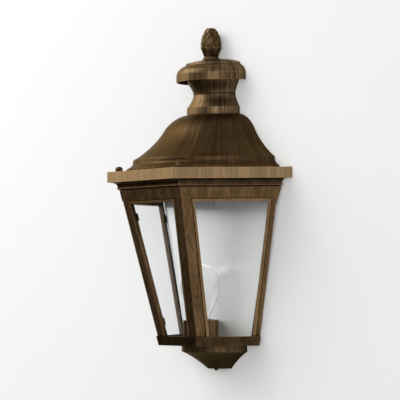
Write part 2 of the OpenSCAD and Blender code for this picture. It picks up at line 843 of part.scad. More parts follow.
// The ledge: leaning walls round the feet of the frames, a floor and the boss for the cup's rod
module ledge() {
    wire_hole_r = lead_r + 1.2;
    color(bronze) difference() {
        union() {
            difference() {
                cage_inside(side_gap + ledge_t, floor_z, floor_z + ledge_h);
                cage_inside(side_gap, foot_z, floor_z + ledge_h + past);
            }
            translate([0, -cup_rod_y, floor_z - cup_boss_h]) cylinder(h = cup_boss_h, r = 3 * cup_rod_r);
        }
        translate([0, -lamp_y, floor_z - past]) cylinder(h = floor_t + 2 * past, r = socket_neck_r + hole_gap);
        translate([0, -cup_rod_y, floor_z - cup_boss_h - past])
            cylinder(h = cup_rod_sink + bore_end + past, r = cup_rod_r + thread_gap);
        for (x = [-lead_x, lead_x]) translate([x, -panel_gap / 2, floor_z - past])
            cylinder(h = floor_t + 2 * past, r = wire_hole_r);
    }
}

// Outline of the cup from its rim down: band, hollow sweep and flat bottom
function cup_path() =
    concat([[cup_r, 0], [cup_r, 1.2 - cup_band_h], [cup_r - 0.6, -cup_band_h]],
           curve([cup_r - 1.4, -cup_band_h - 0.2], [46, -14], [33, -23], [cup_bottom_r, -cup_h]),
           [[0, -cup_h]]);

module bottom_cup() {
    color(bronze) translate([0, 0, floor_z]) difference() {
        half_shell(cup_path(), shell_t);
        translate([0, -cup_rod_y, -cup_h - past]) cylinder(h = shell_t + 2 * past, r = cup_rod_r + hole_gap);
    }
}

module cup_rod() {
    foot = -cup_h - knob_bore + bore_end;
    color(steel) translate([0, -cup_rod_y, floor_z + foot])
        cylinder(h = cup_rod_sink - cup_boss_h - foot, r = cup_rod_r);
}

module bottom_knob() {
    color(bronze) translate([0, -cup_rod_y, floor_z - cup_h]) difference() {
        rotate_extrude() polygon(concat([[0, 0], [knob_r, 0]],
            curve([knob_r, -1], [knob_r, -2.6], [1.6, -knob_h], [0, -knob_h], 6)));
        translate([0, 0, -knob_bore]) cylinder(h = knob_bore + past, r = cup_rod_r + thread_gap);
    }
}

// Places a thing on the lamp's axis, from the floor up
module at_lamp() {
    translate([0, -lamp_y, foot_z]) children();
}

module socket_sleeve() {
    color([0.42, 0.36, 0.30]) at_lamp() rotate_extrude()
        polygon([[sleeve_r - sleeve_t, 0], [sleeve_r, 0], [sleeve_r, sleeve_h], [socket_r + side_gap, sleeve_h],
                 [socket_r + side_gap, sleeve_h - sleeve_t], [sleeve_r - sleeve_t, sleeve_h - sleeve_t]]);
}

module socket() {
    bore_r = screw_shell_r + seat_gap;
    color([0.16, 0.14, 0.13]) at_lamp() rotate_extrude()
        polygon([[0, -floor_t - socket_neck_h], [socket_neck_r, -floor_t - socket_neck_h], [socket_neck_r, 0],
                 [socket_r, 0], [socket_r, socket_h], [bore_r, socket_h], [bore_r, socket_floor_h],
                 [0, socket_floor_h]]);
}

module screw_shell() {
    color([0.85, 0.80, 0.65]) at_lamp() translate([0, 0, 2 * socket_floor_h]) difference() {
        cylinder(h = screw_shell_h, r = screw_shell_r);
        translate([0, 0, -past]) cylinder(h = screw_shell_h + 2 * past, r = screw_shell_r - screw_shell_t);
    }
}

module centre_contact() {
    color([0.85, 0.75, 0.50]) at_lamp() translate([0, 0, socket_floor_h]) cylinder(h = contact_h, r = contact_r);
}

module socket_ring() {
    color(steel) at_lamp() translate([0, 0, -floor_t - socket_ring_h]) difference() {
        cylinder(h = socket_ring_h, r = socket_neck_r + socket_ring_w);
        translate([0, 0, -past]) cylinder(h = socket_ring_h + 2 * past, r = socket_neck_r + seat_gap);
    }
}

// Outline of the bulb from its tip contact up: screw base, neck, globe and crown
function bulb_path() =
    let (widest = bulb_l - 30)
    concat([[0, 0], [4.5, 0], [4.5, 1.5], [9, 3], [base_r, 4.5], [base_r, base_l - 1.5]],
           curve([base_r + 0.3, base_l], [base_r + 0.3, base_l + 18], [bulb_r, widest - 22], [bulb_r, widest]),
           [for (i = [1 : 9]) [bulb_r * cos(10 * i), widest + (bulb_l - widest) * sin(10 * i)]],
           [[0, bulb_l]]);

module bulb() {
    color([0.90, 0.92, 0.92, 0.4]) at_lamp() translate([0, 0, socket_floor_h + contact_h + bulb_gap])
        rotate_extrude() polygon(bulb_path());
}

function unit(v) = v / norm(v);

// Way a path runs at its point i
function way(path, i) =
    unit((i > 0 ? unit(path[i] - path[i - 1]) : [0, 0, 0]) +
         (i < len(path) - 1 ? unit(path[i + 1] - path[i]) : [0, 0, 0]));

// An eight-sided wire of radius r along a path that never runs straight across
module wire(path, r) {
    n = 8;
    m = len(path);
    rings = [for (i = [0 : m - 1])
        let (w = way(path, i), u = unit(cross(w, [1, 0, 0])), v = cross(w, u))
        for (k = [0 : n - 1]) path[i] + r * (cos(360 * k / n) * u + sin(360 * k / n) * v)];
    walls = [for (i = [0 : m - 2], k = [0 : n - 1])
        [i * n + k, i * n + (k + 1) % n, (i + 1) * n + (k + 1) % n, (i + 1) * n + k]];
    polyhedron(rings, concat([[for (k = [n - 1 : -1 : 0]) k]], walls, [[for (k = [0 : n - 1]) (m - 1) * n + k]]));
}

// The right lead: out under the socket, across the cup, up behind the panel and into the wall
module lead() {
    neck_z = floor_z - socket_neck_h;
    gap_y = -panel_gap / 2;
    wire([[6, -lamp_y, neck_z], [6, -lamp_y, neck_z - 3], [8, -lamp_y + 4, neck_z - 5.4],
          [lead_x - 1, -20, neck_z - 6], [lead_x, -7, neck_z - 4.6], [lead_x, gap_y, neck_z - 0.5],
          [lead_x, gap_y, floor_z], [lead_x, gap_y, -6], [lead_x, gap_y + 0.5, -2.6],
          [lead_x, gap_y + 1.8, 0], [lead_x, 0, 0]], lead_r);
}

module lead_wires() {
    color([0.10, 0.10, 0.10]) lead();
    color([0.90, 0.90, 0.88]) mirror([1, 0, 0]) lead();
}

finial();
cap();
upper_neck();
lower_neck();
roof_bell();
roof_tray();
tie_rod();
tie_washer();
tie_nut();
roof_studs();
left_washer();
right_washer();
left_nut();
right_nut();
cornice();
front_frame();
left_frame();
right_frame();
front_pane();
left_pane();
right_pane();
glass_clips();
frame_screws();
back_panel();
reflector();
mounting_strap();
strap_studs();
spacer_nuts();
cap_nuts();
ground_screw();
ledge();
bottom_cup();
cup_rod();
bottom_knob();
socket_sleeve();
socket();
screw_shell();
centre_contact();
socket_ring();
bulb();
lead_wires();
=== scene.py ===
# %% [markdown]
# # A half-hexagon wall lantern
# This lesson dresses a finished CAD model of an outdoor wall light in Blender. The CAD gives the
# sizes and the places; here the pieces get their moulded edges, their brushed bronze, their clear
# glass, a studio and a camera. Every length is in metres unless a name says millimetres. The wall is
# the plane y = 0, the lantern stands out towards -Y and up is +Z.

# %% Load the frame
import math

import bmesh
import bpy
from mathutils import Matrix, Vector


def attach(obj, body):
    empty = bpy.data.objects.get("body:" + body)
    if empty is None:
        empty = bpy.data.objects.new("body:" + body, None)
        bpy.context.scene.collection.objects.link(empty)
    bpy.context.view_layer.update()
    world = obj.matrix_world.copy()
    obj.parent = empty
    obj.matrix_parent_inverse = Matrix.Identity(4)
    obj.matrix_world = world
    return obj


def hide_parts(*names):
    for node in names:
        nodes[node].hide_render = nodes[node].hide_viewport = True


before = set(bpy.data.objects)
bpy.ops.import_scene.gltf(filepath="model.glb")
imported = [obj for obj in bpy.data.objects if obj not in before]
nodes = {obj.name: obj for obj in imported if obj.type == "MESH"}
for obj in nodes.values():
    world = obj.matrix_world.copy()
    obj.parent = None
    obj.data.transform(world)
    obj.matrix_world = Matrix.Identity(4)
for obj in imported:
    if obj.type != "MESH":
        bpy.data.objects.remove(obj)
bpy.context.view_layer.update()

# %% [markdown]
# ## The camera
# The picture was taken with a long lens, 3.1 m away, 53 degrees round to the lantern's right and
# level with the lamp. A long lens keeps the uprights upright and the hexagon flat. The camera's own
# axes are worked out from the direction it looks in, turned a little about that direction, because
# the picture is not quite level.

# %% Place the camera
ROUND_TO = 52.74
AIMED_OFF = 0.54
AZIMUTH = math.radians(ROUND_TO)
DISTANCE = 3.12495
HEIGHT = -0.01358
YAW = math.radians(ROUND_TO + AIMED_OFF)
PITCH = math.radians(1.86)
ROLL = math.radians(0.6)
LENS = 197.4

eye = Vector((DISTANCE * math.sin(AZIMUTH), -DISTANCE * math.cos(AZIMUTH), HEIGHT))
look = Vector((-math.sin(YAW) * math.cos(PITCH), math.cos(YAW) * math.cos(PITCH), math.sin(PITCH)))
across = Vector((math.cos(YAW), math.sin(YAW), 0.0))
upward = across.cross(look)
camera_x = across * math.cos(ROLL) - upward * math.sin(ROLL)
camera_y = across * math.sin(ROLL) + upward * math.cos(ROLL)

camera = bpy.data.objects.new("camera", bpy.data.cameras.new("camera"))
camera.data.lens = LENS
camera.data.sensor_width = 36.0
camera.data.clip_end = 50.0
bpy.context.scene.collection.objects.link(camera)
camera.matrix_world = Matrix((
    (camera_x.x, camera_y.x, -look.x, eye.x),
    (camera_x.y, camera_y.y, -look.y, eye.y),
    (camera_x.z, camera_y.z, -look.z, eye.z),
    (0, 0, 0, 1),
))
bpy.context.scene.camera = camera
print("camera at", [round(v, 3) for v in eye])

# %% [markdown]
# ## Curves and spun sections
# The bell, the necks, the cap and the cup are spun: one outline, turned about the upright line
# where the lantern meets the wall. The outline is a list of points in millimetres, a radius and a
# height. A cubic curve gives the hollow sweeps and an arc gives the rounded edges. Because the wall
# cuts these pieces in half, they are turned through half a circle only, and closed with a flat cut.

# %% Outline helpers
MM = 0.001


def cubic(a, b, c, d, n=16):
    """Points of a cubic curve from a to d, shaped by b and c."""
    found = []
    for i in range(n + 1):
        t = i / n
        s = 1 - t
        w = (s**3, 3 * s * s * t, 3 * s * t * t, t**3)
        found.append(tuple(w[0] * a[k] + w[1] * b[k] + w[2] * c[k] + w[3] * d[k] for k in (0, 1)))
    return found


def arc(centre, radius, start, stop, n=8):
    """Points of an arc, with its angles in degrees."""
    angles = [math.radians(start + (stop - start) * i / n) for i in range(n + 1)]
    return [(centre[0] + radius * math.cos(a), centre[1] + radius * math.sin(a)) for a in angles]


def tidy(path):
    """The path without points that repeat."""
    kept = [path[0]]
    for p in path[1:]:
        if math.dist(p, kept[-1]) > 0.02:
            kept.append(p)
    return kept


def inner(path, thick):
    """The path moved square to its run, to the right hand of its way."""
    found = []
    for i, p in enumerate(path):
        a = path[max(i - 1, 0)]
        b = path[min(i + 1, len(path) - 1)]
        dx, dz = b[0] - a[0], b[1] - a[1]
        size = math.hypot(dx, dz)
        found.append((max(0.0, p[0] + thick * dz / size), p[1] - thick * dx / size))
    return found


def shell(path, thick):
    """Closed section of a sheet that is spun to a path which runs down."""
    path = tidy(path)
    return path + inner(path, thick)[::-1]


# %% [markdown]
# ## Turning an outline into a mesh
# A mesh is a list of points and a list of faces. The outline is copied at even steps of the turn,
# and each pair of neighbouring copies is joined with four-sided faces. Blender's Spin tool does the
# same; writing it out keeps every point where the outline says. A small Bevel modifier then breaks
# each sharp edge, since a real edge is never perfectly sharp and it is the rounding that catches
# the light. Weighted normals keep the broad faces flat-looking beside those narrow ones.

# %% Mesh helpers
def link(name, mesh):
    """A new object for a mesh."""
    made = bpy.data.objects.new(name, mesh)
    bpy.context.scene.collection.objects.link(made)
    return made


def smooth(obj):
    """Shades every face smooth."""
    for face in obj.data.polygons:
        face.use_smooth = True
    return obj


def soften(obj, width, segments=2, limit=32):
    """Rounds the sharp edges and shades the rest smooth."""
    smooth(obj)
    bevel = obj.modifiers.new("rounded edges", "BEVEL")
    bevel.width = width * MM
    bevel.segments = segments
    bevel.limit_method = "ANGLE"
    bevel.angle_limit = math.radians(limit)
    bevel.use_clamp_overlap = True
    obj.modifiers.new("even shading", "WEIGHTED_NORMAL").keep_sharp = True
    return obj


def spun(name, section, height=0.0, centre=(0.0, 0.0), half=True, steps=96, ripple=None):
    """Turns a closed section about an upright line; half a turn is cut flat along the wall."""
    section = tidy(section)
    if math.dist(section[0], section[-1]) < 0.02:
        section = section[:-1]
    around = steps + 1 if half else steps
    bm = bmesh.new()
    rings = []
    for i in range(around):
        turn = math.pi + math.pi * i / steps if half else 2 * math.pi * i / steps
        ring = []
        for r, z in section:
            reach = r * (ripple(turn, z) if ripple else 1.0)
            ring.append(bm.verts.new(((centre[0] + reach * math.cos(turn)) * MM,
                                      (centre[1] + reach * math.sin(turn)) * MM, (height + z) * MM)))
        rings.append(ring)
    count = len(section)
    for i in range(around if not half else around - 1):
        a, b = rings[i], rings[(i + 1) % around]
        for k in range(count):
            bm.faces.new((a[k], b[k], b[(k + 1) % count], a[(k + 1) % count]))
    if half:
        bm.faces.new(rings[0])
        bm.faces.new(rings[-1][::-1])
    bmesh.ops.remove_doubles(bm, verts=bm.verts, dist=0.00001)
    bmesh.ops.recalc_face_normals(bm, faces=bm.faces)
    mesh = bpy.data.meshes.new(name)
    bm.to_mesh(mesh)
    bm.free()
    return link(name, mesh)


def moulded(node, width):
    """A copy of a CAD node with its flat faces made whole and its edges rounded."""
    mesh = nodes[node].data.copy()
    bm = bmesh.new()
    bm.from_mesh(mesh)
    bmesh.ops.remove_doubles(bm, verts=bm.verts, dist=0.000005)
    bmesh.ops.dissolve_limit(bm, angle_limit=math.radians(0.5), verts=bm.verts, edges=bm.edges)
    for edge in bm.edges:
        edge.smooth = True
    bm.to_mesh(mesh)
    bm.free()
    return soften(link(node + "_metal", mesh), width)


# %% [markdown]
# ## Brushed bronze
# The metal is brass under a brown patina, brushed upright by hand. That makes three things at three
# sizes: hair-fine streaks, broader bands where the brush ran twice, and soft clouds where the
# patina is thicker. All three are Noise textures. The streaks come from stretching the space the
# noise is drawn in, so that it changes fast across and slowly upwards. The same streaks also drive
# the roughness and a very shallow bump, because a scratch changes the gloss as well as the colour.
# Edges are mixed towards a paler metal: partly wear from hands and rain, partly a painted highlight
# where a rounded edge would catch the light. The Bevel node knows where they are, since its rounded
# normal departs from the true one there.

# %% Material helpers
# How far the edge mask reaches (wear and painted highlight) and how far the corner darkening reaches (patina
# and painted shade).
EDGE_WEAR_AND_HIGHLIGHT_REACH = 0.0012
CORNER_PATINA_AND_SHADE_REACH = 0.004
HAIR_SHARE = 0.45
BAND_SHARE = 0.33
CLOUD_SHARE = 0.22
TONE_SPAN = 0.16
SLANT_TINT = (0.70, 0.61, 0.50, 1.0)


def start(name):
    """A new material, its node tree and its main shader."""
    made = bpy.data.materials.new(name)
    made.use_nodes = True
    tree = made.node_tree
    return made, tree, tree.nodes["Principled BSDF"]


def put(tree, kind, **settings):
    """A new node with some of its settings and its unlinked sockets filled in."""
    node = tree.nodes.new(kind)
    for key, value in settings.items():
        if key.startswith("in_"):
            socket = key[3:]
            place = int(socket) if socket.isdigit() else socket.replace("_", " ")
            node.inputs[place].default_value = value
        else:
            setattr(node, key, value)
    return node


def round_the_axis(tree, radius):
    """Object space unrolled round the lantern's upright axis, true to size at a radius."""
    place = put(tree, "ShaderNodeTexCoord")
    parts = put(tree, "ShaderNodeSeparateXYZ")
    tree.links.new(place.outputs["Object"], parts.inputs[0])
    angle = put(tree, "ShaderNodeMath", operation="ARCTAN2")
    tree.links.new(parts.outputs["X"], angle.inputs[0])
    tree.links.new(parts.outputs["Y"], angle.inputs[1])
    unrolled = put(tree, "ShaderNodeCombineXYZ")
    away = put(tree, "ShaderNodeMath", operation="PINGPONG", in_1=math.pi)
    tree.links.new(angle.outputs[0], away.inputs[0])
    size = put(tree, "ShaderNodeMath", operation="MULTIPLY", in_1=radius)
    tree.links.new(away.outputs[0], size.inputs[0])
    tree.links.new(size.outputs[0], unrolled.inputs["X"])
    tree.links.new(parts.outputs["Z"], unrolled.inputs["Z"])
    return unrolled.outputs["Vector"]


def noise_at(tree, stretch, shift, detail, space=None):
    """Noise that changes so many times a metre along x, y and z, in object space or another."""
    if space is None:
        space = put(tree, "ShaderNodeTexCoord").outputs["Object"]
    stretched = put(tree, "ShaderNodeMapping", in_Scale=stretch,
                    in_Location=(shift, shift * 1.7, shift * 0.6))
    cloud = put(tree, "ShaderNodeTexNoise", in_Scale=1.0, in_Detail=detail, in_Roughness=0.6)
    tree.links.new(space, stretched.inputs["Vector"])
    tree.links.new(stretched.outputs["Vector"], cloud.inputs["Vector"])
    return cloud.outputs["Fac"]


def math_node(tree, operation, a, b, clamp=False):
    """A Math node fed with sockets or numbers."""
    node = put(tree, "ShaderNodeMath", operation=operation, use_clamp=clamp)
    for i, value in enumerate((a, b)):
        if isinstance(value, (int, float)):
            node.inputs[i].default_value = value
        else:
            tree.links.new(value, node.inputs[i])
    return node.outputs[0]


def spread(tree, source, low, high, to_low, to_high):
    """A value carried from one span to another."""
    node = put(tree, "ShaderNodeMapRange", clamp=True)
    tree.links.new(source, node.inputs["Value"])
    for name, value in (("From Min", low), ("From Max", high), ("To Min", to_low), ("To Max", to_high)):
        node.inputs[name].default_value = value
    return node.outputs["Result"]


def ramp(tree, source, stops):
    """Colours along a value."""
    node = put(tree, "ShaderNodeValToRGB")
    band = node.color_ramp
    while len(band.elements) < len(stops):
        band.elements.new(0.5)
    for element, (at, colour) in zip(band.elements, stops):
        element.position = at
        element.color = (*colour, 1.0)
    tree.links.new(source, node.inputs["Fac"])
    return node.outputs["Color"]


def edges_for_wear_and_highlight(tree, reach):
    """One on edges and corners, nought on flat metal: where wear and a painted highlight go."""
    rounded = put(tree, "ShaderNodeBevel", samples=4, in_Radius=reach)
    true = put(tree, "ShaderNodeNewGeometry")
    dot = put(tree, "ShaderNodeVectorMath", operation="DOT_PRODUCT")
    tree.links.new(rounded.outputs["Normal"], dot.inputs[0])
    tree.links.new(true.outputs["Normal"], dot.inputs[1])
    return spread(tree, dot.outputs["Value"], 0.995, 0.93, 0.0, 1.0)


def patina_and_shade_in_corners(tree, colour, depth):
    """Darkens a colour where two pieces of metal meet: patina kept there, and painted shade."""
    hollow = put(tree, "ShaderNodeAmbientOcclusion", samples=6, in_Distance=CORNER_PATINA_AND_SHADE_REACH)
    share = spread(tree, hollow.outputs["AO"], 0.45, 0.90, depth, 1.0)
    darker = put(tree, "ShaderNodeMix", data_type="RGBA", blend_type="MULTIPLY", in_0=1.0)
    tree.links.new(colour, darker.inputs["A"])
    tree.links.new(share, darker.inputs["B"])
    return darker.outputs["Result"]


def bronze(name, deep, middle, pale, rough=(0.30, 0.46), shift=0.0, wear_and_highlight=0.5, contrast=1.0,
           radius=None, hair=(520, 520, 14), patina_and_shade=0.30):
    """Brushed bronze in three tones; a spun piece gives the radius that its streaks run down at."""
    made, tree, shader = start(name)
    space = round_the_axis(tree, radius) if radius else None
    fine = noise_at(tree, hair, shift, 3.0, space)
    bands = noise_at(tree, (120, 120, 5), shift + 3.0, 2.0, space)
    clouds = noise_at(tree, (16, 16, 11), shift + 7.0, 3.0)
    tone = math_node(tree, "MULTIPLY", fine, HAIR_SHARE)
    tone = math_node(tree, "ADD", tone, math_node(tree, "MULTIPLY", bands, BAND_SHARE))
    tone = math_node(tree, "ADD", tone, math_node(tree, "MULTIPLY", clouds, CLOUD_SHARE))
    half = TONE_SPAN / contrast
    tone = spread(tree, tone, 0.5 - half, 0.5 + half, 0.0, 1.0)
    colour = ramp(tree, tone, ((0.0, deep), (0.5, middle), (1.0, pale)))
    # Paler metal on the edges: wear, and a painted highlight.
    wear_and_highlight_mask = edges_for_wear_and_highlight(tree, EDGE_WEAR_AND_HIGHLIGHT_REACH)
    edge = math_node(tree, "MULTIPLY", wear_and_highlight_mask, math_node(tree, "MULTIPLY", fine, 2 * wear_and_highlight), True)
    mixed = put(tree, "ShaderNodeMix", data_type="RGBA")
    tree.links.new(edge, mixed.inputs["Factor"])
    tree.links.new(colour, mixed.inputs["A"])
    mixed.inputs["B"].default_value = (*[min(1.0, v * 1.5) for v in pale], 1.0)
    # Darker in corners and joins: patina, and painted shade.
    tree.links.new(patina_and_shade_in_corners(tree, mixed.outputs["Result"], depth=patina_and_shade), shader.inputs["Base Color"])
    tree.links.new(spread(tree, fine, 0.3, 0.7, *rough), shader.inputs["Roughness"])
    bump = put(tree, "ShaderNodeBump", in_Strength=0.22, in_Distance=0.0004)
    tree.links.new(math_node(tree, "ADD", fine, bands), bump.inputs["Height"])
    tree.links.new(bump.outputs["Normal"], shader.inputs["Normal"])
    shader.inputs["Metallic"].default_value = 1.0
    shader.inputs["Specular Tint"].default_value = SLANT_TINT
    return made


# %% [markdown]
# One recipe with different tones keeps the bronzes in one family. The roof tray catches the most
# rain and is the palest; the bell above the lamp is the darkest of the large pieces. The cornice and
# the ledge take a darker copy of the brown, as painted shade. The streaks on the bell, the necks, the
# cap and the cup run down them. The ridges of the beads round the panes are painted paler, as a
# painted highlight; their grooves and the insides of the frames are nearly black, as painted shade.
# The cast finial and nuts have a short grain instead of brushed hairs. Metal seen at a slant mirrors
# a little less than a perfect mirror, which is the Specular Tint.

# %% Make the bronzes
body_bronze = bronze("brown bronze", (0.068, 0.038, 0.016), (0.136, 0.080, 0.037),
                     (0.235, 0.147, 0.074))
# A darker copy of the brown: painted shade on the cornice and the ledge.
shaded_cornice_bronze = bronze("cornice bronze in painted shade", (0.028, 0.015, 0.007), (0.060, 0.035, 0.016),
                        (0.120, 0.074, 0.038), shift=5.0, wear_and_highlight=1.3, patina_and_shade=0.12)
pale_bronze = bronze("pale bronze", (0.150, 0.096, 0.046), (0.240, 0.157, 0.080),
                     (0.350, 0.240, 0.132), shift=11.0)
cap_bronze = bronze("cap bronze", (0.046, 0.028, 0.013), (0.108, 0.069, 0.034),
                    (0.240, 0.160, 0.088), shift=17.0, contrast=1.7, radius=0.055)
dark_bronze = bronze("dark bronze", (0.026, 0.015, 0.007), (0.056, 0.033, 0.015),
                     (0.105, 0.065, 0.032), shift=23.0, rough=(0.34, 0.50), wear_and_highlight=0.4, radius=0.11)
cup_bronze = bronze("cup bronze", (0.036, 0.021, 0.010), (0.084, 0.052, 0.026),
                    (0.175, 0.112, 0.058), shift=29.0, radius=0.05)
cone_bronze = bronze("cone bronze", (0.024, 0.014, 0.006), (0.062, 0.039, 0.017),
                     (0.180, 0.120, 0.058), shift=31.0, rough=(0.26, 0.40), wear_and_highlight=1.2,
                     hair=(210, 210, 130), patina_and_shade=0.35)
nut_bronze = bronze("nut bronze", (0.018, 0.010, 0.005), (0.045, 0.025, 0.012),
                    (0.120, 0.064, 0.036), shift=37.0, rough=(0.26, 0.36), wear_and_highlight=0.6,
                    hair=(300, 300, 120), patina_and_shade=0.15)
# Paler: a painted highlight on the beads' ridges.
bead_highlight_bronze = bronze("bead bronze with painted highlight", (0.130, 0.078, 0.032), (0.225, 0.140, 0.062),
                     (0.330, 0.218, 0.110), shift=41.0)
# Nearly black: a dark joint at the waist seam, and painted shade in the grooves and under the cornice ridge.
seam_and_shade_bronze = bronze("dark seam and painted shade bronze", (0.010, 0.006, 0.003), (0.022, 0.013, 0.006),
                       (0.045, 0.027, 0.013), shift=43.0, rough=(0.5, 0.7), wear_and_highlight=0.0)
# Nearly black: painted shade inside the frames, on the cup below its band, and on the clips and screws.
shade_bronze = bronze("bronze in painted shade", (0.022, 0.015, 0.008), (0.040, 0.028, 0.014),
                      (0.070, 0.050, 0.027), shift=47.0, rough=(0.45, 0.6), wear_and_highlight=0.2)
print("bronzes:", [m.name for m in bpy.data.materials if "bronze" in m.name])

# %% [markdown]
# ## Clear glass
# Window glass bends light very little and mirrors a few parts in a hundred of it, more at a slant.
# The Principled shader does that with full transmission. Light that falls through a pane onto the
# plate behind would need costly caustics, so for shadow and soft-light rays the pane simply lets
# the light by. The Light Path node tells those rays from the ones the eye sees.

# %% Make the glass
PANE_BEND = 1.12
BULB_BEND = 1.17
SMEAR_ROUGH = 0.03


def glass(name, tint, bend):
    """Clear glass that lets shadow and soft-light rays by; bend is how much it bends light."""
    made, tree, shader = start(name)
    shader.inputs["Transmission Weight"].default_value = 1.0
    shader.inputs["IOR"].default_value = bend
    shader.inputs["Base Color"].default_value = (*tint, 1.0)
    smear = noise_at(tree, (22, 22, 9), 2.0, 2.0)
    tree.links.new(spread(tree, smear, 0.35, 0.75, 0.0, SMEAR_ROUGH), shader.inputs["Roughness"])
    clear = put(tree, "ShaderNodeBsdfTransparent", in_Color=(*[0.5 + 0.5 * v for v in tint], 1.0))
    path = put(tree, "ShaderNodeLightPath")
    mix = put(tree, "ShaderNodeMixShader")
    passing = math_node(tree, "MAXIMUM", path.outputs["Is Shadow Ray"], path.outputs["Is Diffuse Ray"])
    tree.links.new(passing, mix.inputs["Fac"])
    tree.links.new(shader.outputs["BSDF"], mix.inputs[1])
    tree.links.new(clear.outputs["BSDF"], mix.inputs[2])
    tree.links.new(mix.outputs["Shader"], tree.nodes["Material Output"].inputs["Surface"])
    return made


pane_glass = glass("pane glass", (0.975, 0.985, 0.99), PANE_BEND)
bulb_glass = glass("bulb glass", (0.99, 0.99, 0.99), BULB_BEND)
print("glass ready")

# %% [markdown]
# ## The other finishes
# The plate behind the lamp is satin: pale, a little rough, brushed along, and shaded half as metal
# and half as paint. Steel is for the fixings at the back, dark glaze for the porcelain socket,
# yellow brass for its contacts, and a matt rubbery finish for the leads. Each has its own fine
# noise, so that none is a single flat colour.

# %% Make the other finishes
def plain_metal(name, low, high, rough, stretch, bump=0.1, metallic=1.0):
    """An even finish with fine grain between two tones."""
    made, tree, shader = start(name)
    grain = noise_at(tree, stretch, 1.0, 3.0)
    tree.links.new(ramp(tree, grain, ((0.3, low), (0.7, high))), shader.inputs["Base Color"])
    tree.links.new(spread(tree, grain, 0.3, 0.7, *rough), shader.inputs["Roughness"])
    raised = put(tree, "ShaderNodeBump", in_Strength=bump, in_Distance=0.0002)
    tree.links.new(grain, raised.inputs["Height"])
    tree.links.new(raised.outputs["Normal"], shader.inputs["Normal"])
    shader.inputs["Metallic"].default_value = metallic
    return made


def coated(name, low, high, rough, stretch, bump=0.15):
    """The same for glaze and rubber, which are not metal."""
    return plain_metal(name, low, high, rough, stretch, bump, 0.0)


steel = plain_metal("zinc plated steel", (0.42, 0.42, 0.43), (0.62, 0.62, 0.63),
                    (0.28, 0.42), (300, 300, 300))
satin_plate = plain_metal("satin plate", (0.93, 0.93, 0.91), (0.95, 0.95, 0.93),
                          (0.34, 0.40), (90, 90, 4), bump=0.01, metallic=0.5)
contact_brass = plain_metal("contact brass", (0.62, 0.45, 0.18), (0.80, 0.62, 0.30),
                            (0.22, 0.34), (400, 400, 400))
glaze = coated("dark glaze", (0.020, 0.017, 0.015), (0.035, 0.030, 0.026),
               (0.12, 0.22), (60, 60, 60), 0.05)
black_cover = coated("black lead cover", (0.012, 0.012, 0.012), (0.030, 0.030, 0.030),
                     (0.5, 0.7), (500, 500, 500))
white_cover = coated("white lead cover", (0.62, 0.62, 0.60), (0.80, 0.80, 0.77),
                     (0.5, 0.7), (500, 500, 500))
green_zinc = plain_metal("green ground screw", (0.03, 0.16, 0.05), (0.06, 0.26, 0.09),
                         (0.35, 0.5), (300, 300, 300))
print("finishes:", len(bpy.data.materials))

# %% [markdown]
# ## Dressing a piece
# One helper gives a piece its finish, hides the CAD nodes it stands for, and makes it ride with
# the body they belong to, so that a nut still turns with its body when a joint moves.

# %% Dress helper
LANTERN = "lantern"


def dress(obj, finish, replaced=(), body=LANTERN):
    """Gives a piece its finish, hides the CAD nodes it replaces and makes it ride on a body."""
    obj.data.materials.clear()
    obj.data.materials.append(finish)
    if replaced:
        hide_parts(*replaced)
    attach(obj, body)
    return obj


def repaint(finish, *names):
    """Gives CAD nodes that stay as they are a better finish."""
    for name in names:
        data = nodes[name].data
        data.materials.clear()
        data.materials.append(finish)


# %% [markdown]
# ## The bell roof
# The bell is spun from sheet: a flat top under the neck, a full shoulder, a long hollow sweep, a
# rounded moulding and a short skirt that flares onto the tray.

# %% Spin the bell
SHEET = 2.0
BELL_Z = 128.2
BELL_H = 80.0
BELL_R = 135.0
MOULDING_R = 3.0
RING_R = 46.6

shoulder = (RING_R + 35.4, BELL_H - 25.7)
sweep = (BELL_R - 13.5, 17.6)
skirt = (BELL_R - 10.3, 11.4)
bell_outline = [(0.0, BELL_H)]
bell_outline += cubic((RING_R, BELL_H), (RING_R + 15.4, BELL_H - 1.8),
                      (shoulder[0] - 7, shoulder[1] + 12.7), shoulder)
bell_outline += cubic(shoulder, (shoulder[0] + 9, shoulder[1] - 13),
                      (sweep[0] - 16, sweep[1] + 10), sweep, 20)
bell_outline += arc((sweep[0], sweep[1] - MOULDING_R), MOULDING_R, 90, 0)
bell_outline += cubic(skirt, (skirt[0] + 0.5, skirt[1] - 3), (skirt[0] + 4.3, skirt[1] - 5.2),
                      (BELL_R - 1, 3.4), 8)
bell_outline += [(BELL_R, 2.4), (BELL_R, 0.0)]
bell = soften(spun("bell", shell(bell_outline, SHEET), BELL_Z), 0.35)
dress(bell, dark_bronze, ["roof_bell"])
print("bell faces:", len(bell.data.polygons))

# %% [markdown]
# ## The two necks
# The lower neck rises from a ring and hollows in to the waist; the upper one flares out again to a
# lip, with an inner collar that carries the cap. They are two spun pieces that meet at a dark seam.

# %% Spin the necks
RING_Z = 208.2
WAIST_Z = 237.6
WAIST_R = 37.0
LOWER_H = 29.4
RING_H = 10.6
FLARE_R = 46.0
FLARE_H = 19.0
COLLAR_R = 32.0
CAP_H = 33.0
CROWN_R = 47.5
CROWN_DROP = 6.8
RIM_Z = 255.4


def crown_at(r):
    """Height of the cap's crown over its rim."""
    return CAP_H - CROWN_DROP * (r / CROWN_R) ** 2


lower_outline = cubic((WAIST_R, LOWER_H), (WAIST_R + 1.2, LOWER_H - 8),
                      (RING_R - 4.6, RING_H + 6.4), (RING_R - 1.6, RING_H + 1.2))
lower_outline += arc((RING_R - 1.2, RING_H - 0.9), 1.2, 80, 0, 4) + [(RING_R + 0.2, 0.0)]
lower = soften(spun("lower_neck_metal", shell(lower_outline, SHEET), RING_Z), 0.25)
dress(lower, cap_bronze, ["lower_neck"])

